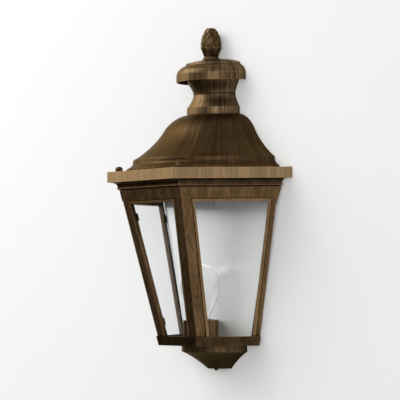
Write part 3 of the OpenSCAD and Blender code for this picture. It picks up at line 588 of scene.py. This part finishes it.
flare = cubic((FLARE_R, FLARE_H), (FLARE_R - 3, FLARE_H - 7), (WAIST_R + 0.6, 6.5), (WAIST_R, 0.0))
collar_top = RIM_Z - WAIST_Z + crown_at(COLLAR_R) - SHEET - 0.3
upper_section = [(COLLAR_R, collar_top), (COLLAR_R, FLARE_H + SHEET), (FLARE_R, FLARE_H + SHEET)] + flare
upper_section += [(r - SHEET, z) for r, z in flare[::-1]]
upper_section += [(COLLAR_R - SHEET, FLARE_H), (COLLAR_R - SHEET, collar_top)]
upper = soften(spun("upper_neck_metal", upper_section, WAIST_Z), 0.3)
dress(upper, cap_bronze, ["upper_neck"])

SEAM_H = 0.7
SEAM_IN = WAIST_R - 0.4
SEAM_OUT = WAIST_R + 0.15
seam_section = [(SEAM_IN, -SEAM_H), (SEAM_OUT, -SEAM_H), (SEAM_OUT, SEAM_H), (SEAM_IN, SEAM_H)]
dress(spun("waist_seam", seam_section, WAIST_Z), seam_and_shade_bronze)
print("necks from", RING_Z, "to", WAIST_Z + FLARE_H, "mm")

# %% [markdown]
# ## The cap
# A shallow crown, a small step round it, a full rounded shoulder and an upright skirt that hangs
# over the flare. A round pad on top takes the finial.

# %% Spin the cap
CAP_R = 61.4
ROD_Y = 14.2
PAD_R = ROD_Y - 1.6
SKIRT_H = 10.4

step = (CROWN_R + 1.2, crown_at(CROWN_R) - 3.0)
cap_outline = [(CROWN_R * i / 12, crown_at(CROWN_R * i / 12)) for i in range(13)]
cap_outline += cubic(step, (step[0] + 6.4, step[1] - 2.4), (CAP_R - 1.2, 16.6), (CAP_R - 0.5, SKIRT_H + 0.5))
cap_outline += [(CAP_R, SKIRT_H), (CAP_R, 0.0)]
cap = soften(spun("cap_metal", shell(cap_outline, SHEET), RIM_Z), 0.4)
dress(cap, cap_bronze, ["cap"])

pad_section = [(0, -4.0), (PAD_R, -4.0), (PAD_R, 0.0), (PAD_R - 0.3, 0.3), (0, 0.3)]
pad = soften(spun("finial_pad", pad_section, RIM_Z + CAP_H, (0, -ROD_Y), half=False, steps=64), 0.15)
dress(pad, cap_bronze)
print("cap rim at", RIM_Z, "mm")

# %% [markdown]
# ## The cone finial
# On the real lamp this is one cast piece: a turned foot and stem, then a bud wrapped in pointed
# leaves, row over row, the lowest with their tips sprung outwards. The bud is spun; each leaf is a
# small curved sheet laid on the bud's own outline. Its width swells and closes like half a sine
# wave, its middle is raised into a rib, and its tip lifts away. Neighbouring rows are turned part
# of a leaf from one another, as in a real cone.

# %% Spin the bud
FINIAL_Z = RIM_Z + CAP_H + 0.3
FOOT_R = 11.2
STEM_Z = 3.4
STEM_R = 9.6
EGG_Z = 19.0
EGG_R = 13.0
EGG_H = 44.2 - EGG_Z


def bud_radius(z):
    """Radius of the finial's core at a height over its foot."""
    if z >= EGG_Z:
        return EGG_R * math.sqrt(max(0.0, 1 - ((z - EGG_Z) / EGG_H) ** 2))
    share = max(0.0, (z - STEM_Z) / (EGG_Z - STEM_Z))
    return STEM_R + (EGG_R - STEM_R) * math.sin(share * math.pi / 2)


core = [(0.0, 0.0), (FOOT_R - 0.4, 0.0)] + arc((FOOT_R - 1.1, 1.1), 1.1, -60, 80, 6) + [(9.8, 2.6)]
core += [(bud_radius(z), z) for z in [STEM_Z + 0.8 * i for i in range(52)]] + [(0.0, EGG_Z + EGG_H)]
finial = smooth(spun("finial_bud", core, FINIAL_Z, (0, -ROD_Y), half=False, steps=64))
print("bud radius at mid height:", round(bud_radius(24.0), 1), "mm")


# %% Lay the leaves and scales
LEAF_WIDE = 1.12
LEAF_STEPS = 10
ACROSS_STEPS = 8
OFF_WALL = 0.2


def leaf_points(low, high, turn, width, lift, spring, rib):
    """A grid of points for one leaf, from its root at low to its tip at high, clear of the wall."""
    grid = []
    for i in range(LEAF_STEPS + 1):
        s = i / LEAF_STEPS
        z = low + (high - low) * s
        swell = math.cos(math.pi / 2 * s**1.8) ** 0.8 if s < 1 else 0.0
        row = []
        for k in range(ACROSS_STEPS + 1):
            t = 2 * k / ACROSS_STEPS - 1
            ridge = rib * (1 - abs(t)) * (1 - 0.4 * s)
            r = bud_radius(z) + lift * s + ridge - 0.35 * t * t + spring * s**4
            angle = turn + width * swell * t
            depth = min(-ROD_Y + r * math.sin(angle), -OFF_WALL)
            row.append((r * math.cos(angle) * MM, depth * MM, (FINIAL_Z + z) * MM))
        grid.append(row)
    return grid


def leaf_row(name, count, low, high, lift, spring, offset, rib):
    """A ring of leaves as one mesh, thickened inwards."""
    bm = bmesh.new()
    for n in range(count):
        turn = 2 * math.pi * (n + offset) / count
        grid = leaf_points(low, high, turn, LEAF_WIDE * math.pi / count, lift, spring, rib)
        verts = [[bm.verts.new(p) for p in row] for row in grid]
        for a, b in zip(verts, verts[1:]):
            for k in range(len(a) - 1):
                bm.faces.new((a[k], a[k + 1], b[k + 1], b[k]))
    bmesh.ops.remove_doubles(bm, verts=bm.verts, dist=0.00002)
    mesh = bpy.data.meshes.new(name)
    bm.to_mesh(mesh)
    bm.free()
    made = smooth(link(name, mesh))
    thick = made.modifiers.new("leaf thickness", "SOLIDIFY")
    thick.thickness = 0.8 * MM
    thick.offset = -1.0
    return made


rows = [leaf_row("finial_leaves", 8, 3.0, 16.4, 0.6, 2.0, 0.25, 0.8),
        leaf_row("finial_leaves_between", 8, 8.0, 15.4, 0.3, 0.8, 0.75, 0.5)]
for n in range(5):
    low = 13.0 + 5.4 * n
    top = min(low + 10.0, EGG_Z + EGG_H - 0.6)
    count = 8 if n < 3 else 6
    rows.append(leaf_row("finial_scales_%d" % (n + 1), count, low, top, 1.5, 0.3, 0.5 * (n % 2), 0.8))
dress(finial, cone_bronze, ["finial"])
for row in rows:
    dress(row, cone_bronze)
print("finial rows:", len(rows))

# %% [markdown]
# ## The roof nuts
# Two small domed nuts hold the roof down at the front corners of the tray. Their sides are fluted
# for the fingers. Each is spun with a ripple in its radius that fades out over the dome, and rides
# on its own body, because undoing it is the first step of changing a bulb.

# %% Spin the nuts
STUD_REACH = 144.8
NUT_R = 5.2
NUT_H = 6.6
WASHER_H = 1.0
FLUTES = 18
FLUTE_DEPTH = 0.045


def fluted(turn, z):
    """Side flutes that fade towards the dome."""
    fade = max(0.0, min(1.0, (NUT_H * 0.72 - z) / 1.2))
    return 1 - FLUTE_DEPTH * fade * (1 - math.cos(FLUTES * turn))


nut_section = [(2.1, 0.0), (NUT_R - 0.35, 0.0), (NUT_R, 0.4), (NUT_R, NUT_H * 0.4)]
nut_section += cubic((NUT_R, NUT_H * 0.43), (NUT_R, NUT_H * 0.82), (NUT_R * 0.6, NUT_H), (0.0, NUT_H), 12)
nut_section += [(0.0, 5.6), (2.1, 5.6)]
for side, sign in (("left", -1), ("right", 1)):
    centre = (sign * STUD_REACH * 0.5, -STUD_REACH * math.cos(math.radians(30)))
    nut = spun(side + "_domed_nut", nut_section, BELL_Z + WASHER_H, centre, half=False,
               steps=FLUTES * 8, ripple=fluted)
    soften(nut, 0.1, 1, 50)
    dress(nut, nut_bronze, [side + "_nut"], side + "_nut")
    ring_section = [(2.3, 0.0), (NUT_R + 0.4, 0.0), (NUT_R + 0.4, WASHER_H), (2.3, WASHER_H)]
    ring = soften(spun(side + "_flat_washer", ring_section, BELL_Z, centre, half=False, steps=64), 0.15)
    dress(ring, nut_bronze, [side + "_washer"], side + "_washer")
print("nuts at x =", round(STUD_REACH * 0.5, 1), "mm")

# %% [markdown]
# ## Folded and mitred pieces
# The tray, the cornice, the three face frames and the ledge are straight work: sheet folded and
# bar mitred. Their CAD shapes are already right, so each is copied, its triangles are dissolved
# back into whole faces, and its edges are rounded by the radius a press brake or a file leaves.
# The back end of the ledge is then drawn in, to stop a few millimetres short of the wall.

# %% Round the straight pieces
LEDGE_BACK = 4.0

# The cornice and the ledge take the darker brown as painted shade.
for node, width, finish, slot in (
    ("roof_tray", 0.7, pale_bronze, "light_metal"),
    ("cornice", 0.25, shaded_cornice_bronze, "body_metal"),
    ("front_frame", 0.4, body_bronze, "body_metal"),
    ("left_frame", 0.4, body_bronze, "body_metal"),
    ("right_frame", 0.4, body_bronze, "body_metal"),
    ("ledge", 0.4, shaded_cornice_bronze, "body_metal"),
):
    piece = dress(moulded(node, width), finish, [node])
    print(node, "faces:", len(piece.data.polygons))
for vertex in bpy.data.objects["ledge_metal"].data.vertices:
    vertex.co.y = min(vertex.co.y, -LEDGE_BACK * MM)

# %% [markdown]
# Each frame holds its pane with a bead: a raised ridge along the glass with a painted highlight, and
# a groove where it meets the stile in painted shade. The ridge, the groove and the inside of the
# frame, which also gets painted shade, are told apart by how far each flat lies out along the frame's
# own facing direction. The cornice has a ridge too, in the frames' lighter brown as a painted
# highlight, with a neck below it in painted shade; there the height tells them apart.

# %% Finish the beads and the insides of the frames
BEAD_PROUD = 1.1
GROOVE_PROUD = 0.44
LEVEL_SLACK = 0.2
FACES_OUT = 0.99
FACES_IN = -0.3
NECK_FOOT = 101.5
RIDGE_FOOT = 103.2
RIDGE_HEAD = 106.0
RIDGE_SLOPE = 0.75


def paint_bead_highlight_and_shade(piece):
    """Gives the bead's ridge a painted highlight, and its groove and the frame's inside painted shade."""
    flats = piece.data.polygons
    widest = max(flats, key=lambda f: f.area)
    facing = widest.normal.copy()
    if facing.dot(widest.center) < 0:
        facing.negate()
    areas = {}
    for flat in flats:
        if flat.normal.dot(facing) > FACES_OUT:
            level = round(facing.dot(flat.center) / MM, 1)
            areas[level] = areas.get(level, 0.0) + flat.area
    face_level = max(areas, key=areas.get)
    for finish in (bead_highlight_bronze, seam_and_shade_bronze, shade_bronze):
        piece.data.materials.append(finish)
    counts = [0, 0, 0, 0]
    bead_top = -1.0
    for flat in flats:
        out = flat.normal.dot(facing)
        proud = facing.dot(flat.center) / MM - face_level
        if out > FACES_OUT and abs(proud - GROOVE_PROUD) < LEVEL_SLACK:
            flat.material_index = 2
            bead_top = max(bead_top, flat.center.z)
        elif out < FACES_IN:
            flat.material_index = 3
    for flat in flats:
        proud = facing.dot(flat.center) / MM - face_level
        on_ridge = flat.normal.dot(facing) > FACES_OUT and abs(proud - BEAD_PROUD) < LEVEL_SLACK
        if on_ridge and flat.center.z < bead_top:
            flat.material_index = 1
        counts[flat.material_index] += 1
    return counts


# The cornice's ridge takes the frames' lighter brown as a painted highlight, and its neck the near-black as
# painted shade.
cornice = bpy.data.objects["cornice_metal"]
for finish in (body_bronze, seam_and_shade_bronze):
    cornice.data.materials.append(finish)
lines = [0, 0]
for flat in cornice.data.polygons:
    if flat.normal.dot(flat.center) < 0:
        continue
    height = flat.center.z / MM
    if RIDGE_FOOT < height < RIDGE_HEAD and flat.normal.z < RIDGE_SLOPE:
        flat.material_index = 1
        lines[0] += 1
    elif NECK_FOOT < height < RIDGE_FOOT:
        flat.material_index = 2
        lines[1] += 1
print("cornice ridge and neck flats:", lines)

for side in ("front", "left", "right"):
    print(side, "frame flats by finish:", paint_bead_highlight_and_shade(bpy.data.objects[side + "_frame_metal"]))

# %% [markdown]
# ## The cup under the cage
# A plain band, a hollow sweep and a flat bottom with a small knob, spun like the roof. Below its band
# the cup turns away from the light and is as dark as the insides of the frames.

# %% Spin the cup
FLOOR_Z = -117.8
CUP_R = 57.8
BAND_H = 9.8
CUP_H = 33.8
BOTTOM_R = 21.0
KNOB_Y = 11.0

cup_outline = [(CUP_R, 0.0), (CUP_R, 1.2 - BAND_H), (CUP_R - 0.6, -BAND_H)]
cup_outline += cubic((CUP_R - 1.4, -BAND_H - 0.2), (46, -14), (33, -23), (BOTTOM_R, -CUP_H)) + [(0.0, -CUP_H)]
cup = soften(spun("cup_metal", shell(cup_outline, SHEET), FLOOR_Z), 0.3)
dress(cup, cup_bronze, ["bottom_cup"])
# Below its band the cup is painted nearly black, as painted shade.
cup.data.materials.append(shade_bronze)
for flat in cup.data.polygons:
    if flat.center.z < (FLOOR_Z - BAND_H - 0.1) * MM:
        flat.material_index = 1

knob_section = [(0, 0), (2.9, 0), (2.9, -1.0)] + cubic((2.9, -1.0), (2.9, -2.6), (1.6, -3.2), (0, -3.2), 8)
knob = spun("cup_knob", knob_section, FLOOR_Z - CUP_H, (0, -KNOB_Y), half=False, steps=48)
dress(soften(knob, 0.1, 1), body_bronze, ["bottom_knob"])
print("lowest point", FLOOR_Z - CUP_H - 3.2, "mm")

# %% [markdown]
# ## The lamp
# A clear bulb on a screw base stands in a dark socket inside a bronze sleeve. The bulb is a thin
# glass envelope, so both its outer and its inner skin are modelled; seen as a solid it would act
# as a lens. Inside are the glass stem, two lead wires and the coiled filament.

# %% Blow the bulb
LAMP_Y = 37.4
TIP_Z = -116.0 + 4.0 + 1.4 + 0.1
BULB_R = 27.8
BULB_L = 107.0
BASE_R = 13.1
BASE_L = 26.0
DOME_H = 30.0
WIDEST = BULB_L - DOME_H
GLASS_THICK = 0.7
THREAD_PITCH = 3.63

envelope = cubic((BASE_R - 0.6, BASE_L - 1.0), (BASE_R - 0.2, BASE_L + 17),
                 (BULB_R, WIDEST - 22), (BULB_R, WIDEST), 24)
dome_angles = [math.radians(5 * i) for i in range(1, 19)]
envelope += [(BULB_R * math.cos(a), WIDEST + DOME_H * math.sin(a)) for a in dome_angles]
bulb_section = shell(envelope[::-1], GLASS_THICK)
bulb = smooth(spun("bulb_envelope", bulb_section, TIP_Z, (0, -LAMP_Y), half=False, steps=96))
dress(bulb, bulb_glass, ["bulb"])


def screw_thread(turn, z):
    """A rolled thread round the bulb's base."""
    if not 6.0 < z < BASE_L - 3.0:
        return 1.0
    return 1 - 0.03 * (1 + math.cos(2 * math.pi * (z / THREAD_PITCH) - turn))


base_section = [(0, 3.0), (9, 3.0), (BASE_R, 4.5)] + [(BASE_R, 5.0 + 0.45 * i) for i in range(44)]
base_section += [(BASE_R, BASE_L - 1.0), (BASE_R - 1.0, BASE_L), (0, BASE_L)]
base = spun("bulb_base", base_section, TIP_Z, (0, -LAMP_Y), half=False, steps=64, ripple=screw_thread)
soften(base, 0.1, 1, 50)
dress(base, contact_brass)

tip_section = [(0, 0), (4.2, 0), (4.6, 0.5), (5.4, 1.6), (9, 3.1), (0, 3.1)]
tip = spun("bulb_tip", tip_section, TIP_Z, (0, -LAMP_Y), half=False, steps=48)
dress(soften(tip, 0.1, 1), glaze)
print("bulb top at", round(TIP_Z + BULB_L, 1), "mm")

# %% [markdown]
# Wires are curves with a round bevel: a curve keeps its thickness however it bends.

# %% Draw the filament and its supports
def wire(name, points, radius, finish, replaced=()):
    """A smooth round wire through points in millimetres."""
    data = bpy.data.curves.new(name, "CURVE")
    data.dimensions = "3D"
    data.bevel_depth = radius * MM
    data.bevel_resolution = 4
    data.resolution_u = 6
    data.use_fill_caps = True
    line = data.splines.new("NURBS")
    line.points.add(len(points) - 1)
    for place, p in zip(line.points, points):
        place.co = (p[0] * MM, p[1] * MM, p[2] * MM, 1.0)
    line.order_u = 3
    line.use_endpoint_u = True
    dress(link(name, data), finish, replaced)


stem_section = [(0, BASE_L), (6.0, BASE_L), (3.2, BASE_L + 8), (2.2, BASE_L + 20),
                (2.4, BASE_L + 26), (0, BASE_L + 27.5)]
stem_glass = smooth(spun("bulb_stem", stem_section, TIP_Z, (0, -LAMP_Y), half=False, steps=32))
dress(stem_glass, bulb_glass)

FILAMENT_Z = TIP_Z + BASE_L + 40
COIL_HALF = 11
COIL_TURNS = 20
COIL_R = 0.6
COIL_RISE = 3.0
COIL_STEPS = 160
for side, sign in (("left", -1), ("right", 1)):
    posts = [(sign * 1.2, -LAMP_Y, TIP_Z + BASE_L + 22), (sign * 4, -LAMP_Y, TIP_Z + BASE_L + 32),
             (sign * COIL_HALF, -LAMP_Y, FILAMENT_Z)]
    wire("filament_post_" + side, posts, 0.25, steel)
coil = []
for i in range(COIL_STEPS + 1):
    t = i / COIL_STEPS
    angle = 2 * math.pi * COIL_TURNS * t
    middle = FILAMENT_Z + COIL_RISE * math.sin(math.pi * t)
    coil.append((-COIL_HALF + 2 * COIL_HALF * t, -LAMP_Y + COIL_R * math.cos(angle),
                 middle + COIL_R * math.sin(angle)))
wire("filament", coil, 0.1, steel)
print("filament at", round(FILAMENT_Z, 1), "mm")

# %% [markdown]
# ## The leads
# Two insulated wires leave the socket's foot, cross the cup and climb behind the back panel into
# the wall. Only a view from behind shows them.

# %% Draw the leads
LEAD_X = 17.0
LEAD_Y = -3.15
NECK_Z = FLOOR_Z - 6.2
for side, sign, finish in (("right", 1, black_cover), ("left", -1, white_cover)):
    route = [(6, -LAMP_Y, NECK_Z), (6, -LAMP_Y, NECK_Z - 3), (8, -LAMP_Y + 4, NECK_Z - 5.4),
             (LEAD_X - 1, -20, NECK_Z - 6), (LEAD_X, -7, NECK_Z - 4.6), (LEAD_X, LEAD_Y, NECK_Z - 0.5),
             (LEAD_X, LEAD_Y, FLOOR_Z), (LEAD_X, LEAD_Y, -6), (LEAD_X, LEAD_Y + 0.5, -2.6),
             (LEAD_X, LEAD_Y + 1.8, 0), (LEAD_X, 0, 0)]
    wire("lead_" + side, [(sign * x, y, z) for x, y, z in route], 1.2, finish,
         ["lead_wires"] if sign > 0 else ())
print("leads drawn")

# %% [markdown]
# ## Pieces whose CAD shape is already right
# The panes, plates, fixings and socket parts are simple in real life too, so they keep their CAD
# meshes and only change finish. The glass clips and the frame screws show through the glass and are
# painted nearly black as painted shade, like the metal round them. The roof studs show at the corners
# and are as dark as the metal round them. The other fixings are plated steel, and the ground screw is
# green.

# %% Repaint the rest
repaint(pane_glass, "front_pane", "left_pane", "right_pane")
repaint(satin_plate, "reflector")
repaint(body_bronze, "back_panel", "socket_sleeve")
# Clips and screws in painted shade.
repaint(shade_bronze, "glass_clips", "frame_screws")
repaint(nut_bronze, "roof_studs")
repaint(steel, "tie_rod", "tie_washer", "tie_nut", "mounting_strap", "strap_studs", "spacer_nuts",
        "cap_nuts", "cup_rod", "socket_ring")
repaint(green_zinc, "ground_screw")
repaint(glaze, "socket")
repaint(contact_brass, "screw_shell", "centre_contact")
print("repainted")

# %% [markdown]
# ## The wall
# The picture shows a white wall with a soft shadow to the right of the lantern. The wall's paint is
# pale; for rays that the eye follows, a fifth of it glows at white, so it looks white and still
# keeps the shadow. Seen from behind it lets the view through. Right behind the cage and the roof a
# window in it, which the eye does not see, lets light reach the lantern's back, so that the back
# can be looked at. The window is as wide as the cage, which widens upwards, and narrow at the roof.

# %% Build the wall
WALL_GLOW = 0.20
CAGE_FOOT = -0.110
CAGE_HEAD = 0.120
CAGE_HALF_LOW = 0.072
CAGE_HALF_HIGH = 0.115
ROOF_HEAD = 0.275
ROOF_HALF = 0.030
WALL_REACH = 7.0
WALL_BEHIND = 0.0006


def wall_paint(name, colour):
    """White paint that glows a little for the eye, with a window behind the lantern."""
    made, tree, shader = start(name)
    mottled = noise_at(tree, (3, 3, 3), 0.0, 2.0)
    tint = ramp(tree, mottled, ((0.3, [v * 0.99 for v in colour]), (0.7, colour)))
    tree.links.new(tint, shader.inputs["Base Color"])
    shader.inputs["Roughness"].default_value = 0.9
    shader.inputs["Specular IOR Level"].default_value = 0.2
    bright = put(tree, "ShaderNodeEmission", in_Color=(1.0, 1.0, 1.0, 1.0), in_Strength=1.0)
    path = put(tree, "ShaderNodeLightPath")
    seen = math_node(tree, "MAXIMUM", path.outputs["Is Camera Ray"], path.outputs["Is Transmission Ray"])
    mix = put(tree, "ShaderNodeMixShader")
    tree.links.new(math_node(tree, "MULTIPLY", seen, WALL_GLOW), mix.inputs["Fac"])
    tree.links.new(shader.outputs["BSDF"], mix.inputs[1])
    tree.links.new(bright.outputs["Emission"], mix.inputs[2])
    sides = put(tree, "ShaderNodeNewGeometry")
    clear = put(tree, "ShaderNodeBsdfTransparent")
    last = put(tree, "ShaderNodeMixShader")
    place = put(tree, "ShaderNodeTexCoord")
    parts = put(tree, "ShaderNodeSeparateXYZ")
    tree.links.new(place.outputs["Object"], parts.inputs[0])
    height = parts.outputs["Z"]
    cage_half = spread(tree, height, CAGE_FOOT, CAGE_HEAD, CAGE_HALF_LOW, CAGE_HALF_HIGH)
    cage = math_node(tree, "MULTIPLY", cage_half, math_node(tree, "LESS_THAN", height, CAGE_HEAD))
    roof = math_node(tree, "MULTIPLY", ROOF_HALF, math_node(tree, "LESS_THAN", height, ROOF_HEAD))
    covered = math_node(tree, "MULTIPLY", math_node(tree, "MAXIMUM", cage, roof),
                        math_node(tree, "GREATER_THAN", height, CAGE_FOOT))
    window = math_node(tree, "LESS_THAN", math_node(tree, "ABSOLUTE", parts.outputs["X"], 0), covered)
    unseen = math_node(tree, "SUBTRACT", 1.0, path.outputs["Is Camera Ray"])
    let_by = math_node(tree, "MULTIPLY", window, unseen)
    opened = math_node(tree, "MAXIMUM", sides.outputs["Backfacing"], let_by)
    tree.links.new(opened, last.inputs["Fac"])
    tree.links.new(mix.outputs["Shader"], last.inputs[1])
    tree.links.new(clear.outputs["BSDF"], last.inputs[2])
    tree.links.new(last.outputs["Shader"], tree.nodes["Material Output"].inputs["Surface"])
    return made


wall_mesh = bpy.data.meshes.new("wall")
corners = [(x, WALL_BEHIND, z) for x, z in ((-1, -1), (1, -1), (1, 1), (-1, 1))]
wall_mesh.from_pydata([(x * WALL_REACH, y, z * WALL_REACH) for x, y, z in corners], [], [(0, 1, 2, 3)])
wall_mesh.materials.append(wall_paint("white plaster", (0.86, 0.86, 0.85)))
link("wall", wall_mesh)
print("wall ready")

# %% [markdown]
# ## The light
# Polished metal shows what it mirrors, so the lamps are placed by what each face mirrors. Seen from
# the camera, the upright front faces mirror the left, where the key stands: a broad soft lamp that
# also throws the shadow to the right on the wall. The wall light stands higher and nearer to the
# front, and evens out the wall. The fill is narrow, low, a little warm and to the right, and the
# round pieces mirror it near their middles. The leaning panes mirror what is lower down, so the
# world is dark low on the left, where the front frame is dark, and brighter on the right.

# %% Set the lights
WHITE = (1.0, 1.0, 1.0)
WARM_WHITE = (1.0, 0.985, 0.96)
LEFT_LEVELS = (0.03, 0.30)
RIGHT_LEVELS = (0.72, 0.84)


def round_about(azimuth, elevation, distance):
    """A place seen from the lantern at an angle round from the front and an angle up."""
    a, e = math.radians(azimuth), math.radians(elevation)
    return Vector((math.sin(a) * math.cos(e), -math.cos(a) * math.cos(e), math.sin(e))) * distance


def soft_lamp(name, place, wide, high, power, colour):
    """A flat lamp turned to the lantern; sizes in metres, power in watts."""
    data = bpy.data.lights.new(name, "AREA")
    data.shape = "RECTANGLE"
    data.size = wide
    data.size_y = high
    data.energy = power
    data.color = colour
    made = bpy.data.objects.new(name, data)
    bpy.context.scene.collection.objects.link(made)
    made.location = place
    made.rotation_euler = (-place).to_track_quat("-Z", "Y").to_euler()


soft_lamp("key", round_about(-58, 27, 3.2), 2.8, 2.6, 62, WHITE)
soft_lamp("wall light", round_about(-36, 44, 3.4), 2.2, 2.2, 44, WHITE)
soft_lamp("fill", round_about(40, 9, 3.6), 1.2, 1.8, 24, WARM_WHITE)

world = bpy.data.worlds.new("studio")
bpy.context.scene.world = world
world.use_nodes = True
tree = world.node_tree
background = tree.nodes["Background"]
place = put(tree, "ShaderNodeTexCoord")
parts = put(tree, "ShaderNodeSeparateXYZ")
tree.links.new(place.outputs["Generated"], parts.inputs[0])
rightward = spread(tree, parts.outputs["X"], -0.5, 0.8, 0.0, 1.0)
upright = spread(tree, parts.outputs["Z"], -0.40, 0.10, 0.0, 1.0)
left_side = spread(tree, upright, 0.0, 1.0, *LEFT_LEVELS)
right_side = spread(tree, upright, 0.0, 1.0, *RIGHT_LEVELS)
level = put(tree, "ShaderNodeMix", data_type="FLOAT")
tree.links.new(rightward, level.inputs[0])
tree.links.new(left_side, level.inputs[2])
tree.links.new(right_side, level.inputs[3])
sky = ramp(tree, level.outputs[0], ((0.0, (0.0, 0.0, 0.0)), (1.0, WHITE)))
eye_path = put(tree, "ShaderNodeLightPath")
shown = put(tree, "ShaderNodeMix", data_type="RGBA")
shown.inputs["B"].default_value = (*WHITE, 1.0)
tree.links.new(eye_path.outputs["Is Camera Ray"], shown.inputs["Factor"])
tree.links.new(sky, shown.inputs["A"])
tree.links.new(shown.outputs["Result"], background.inputs["Color"])
bpy.context.scene.view_settings.view_transform = "Standard"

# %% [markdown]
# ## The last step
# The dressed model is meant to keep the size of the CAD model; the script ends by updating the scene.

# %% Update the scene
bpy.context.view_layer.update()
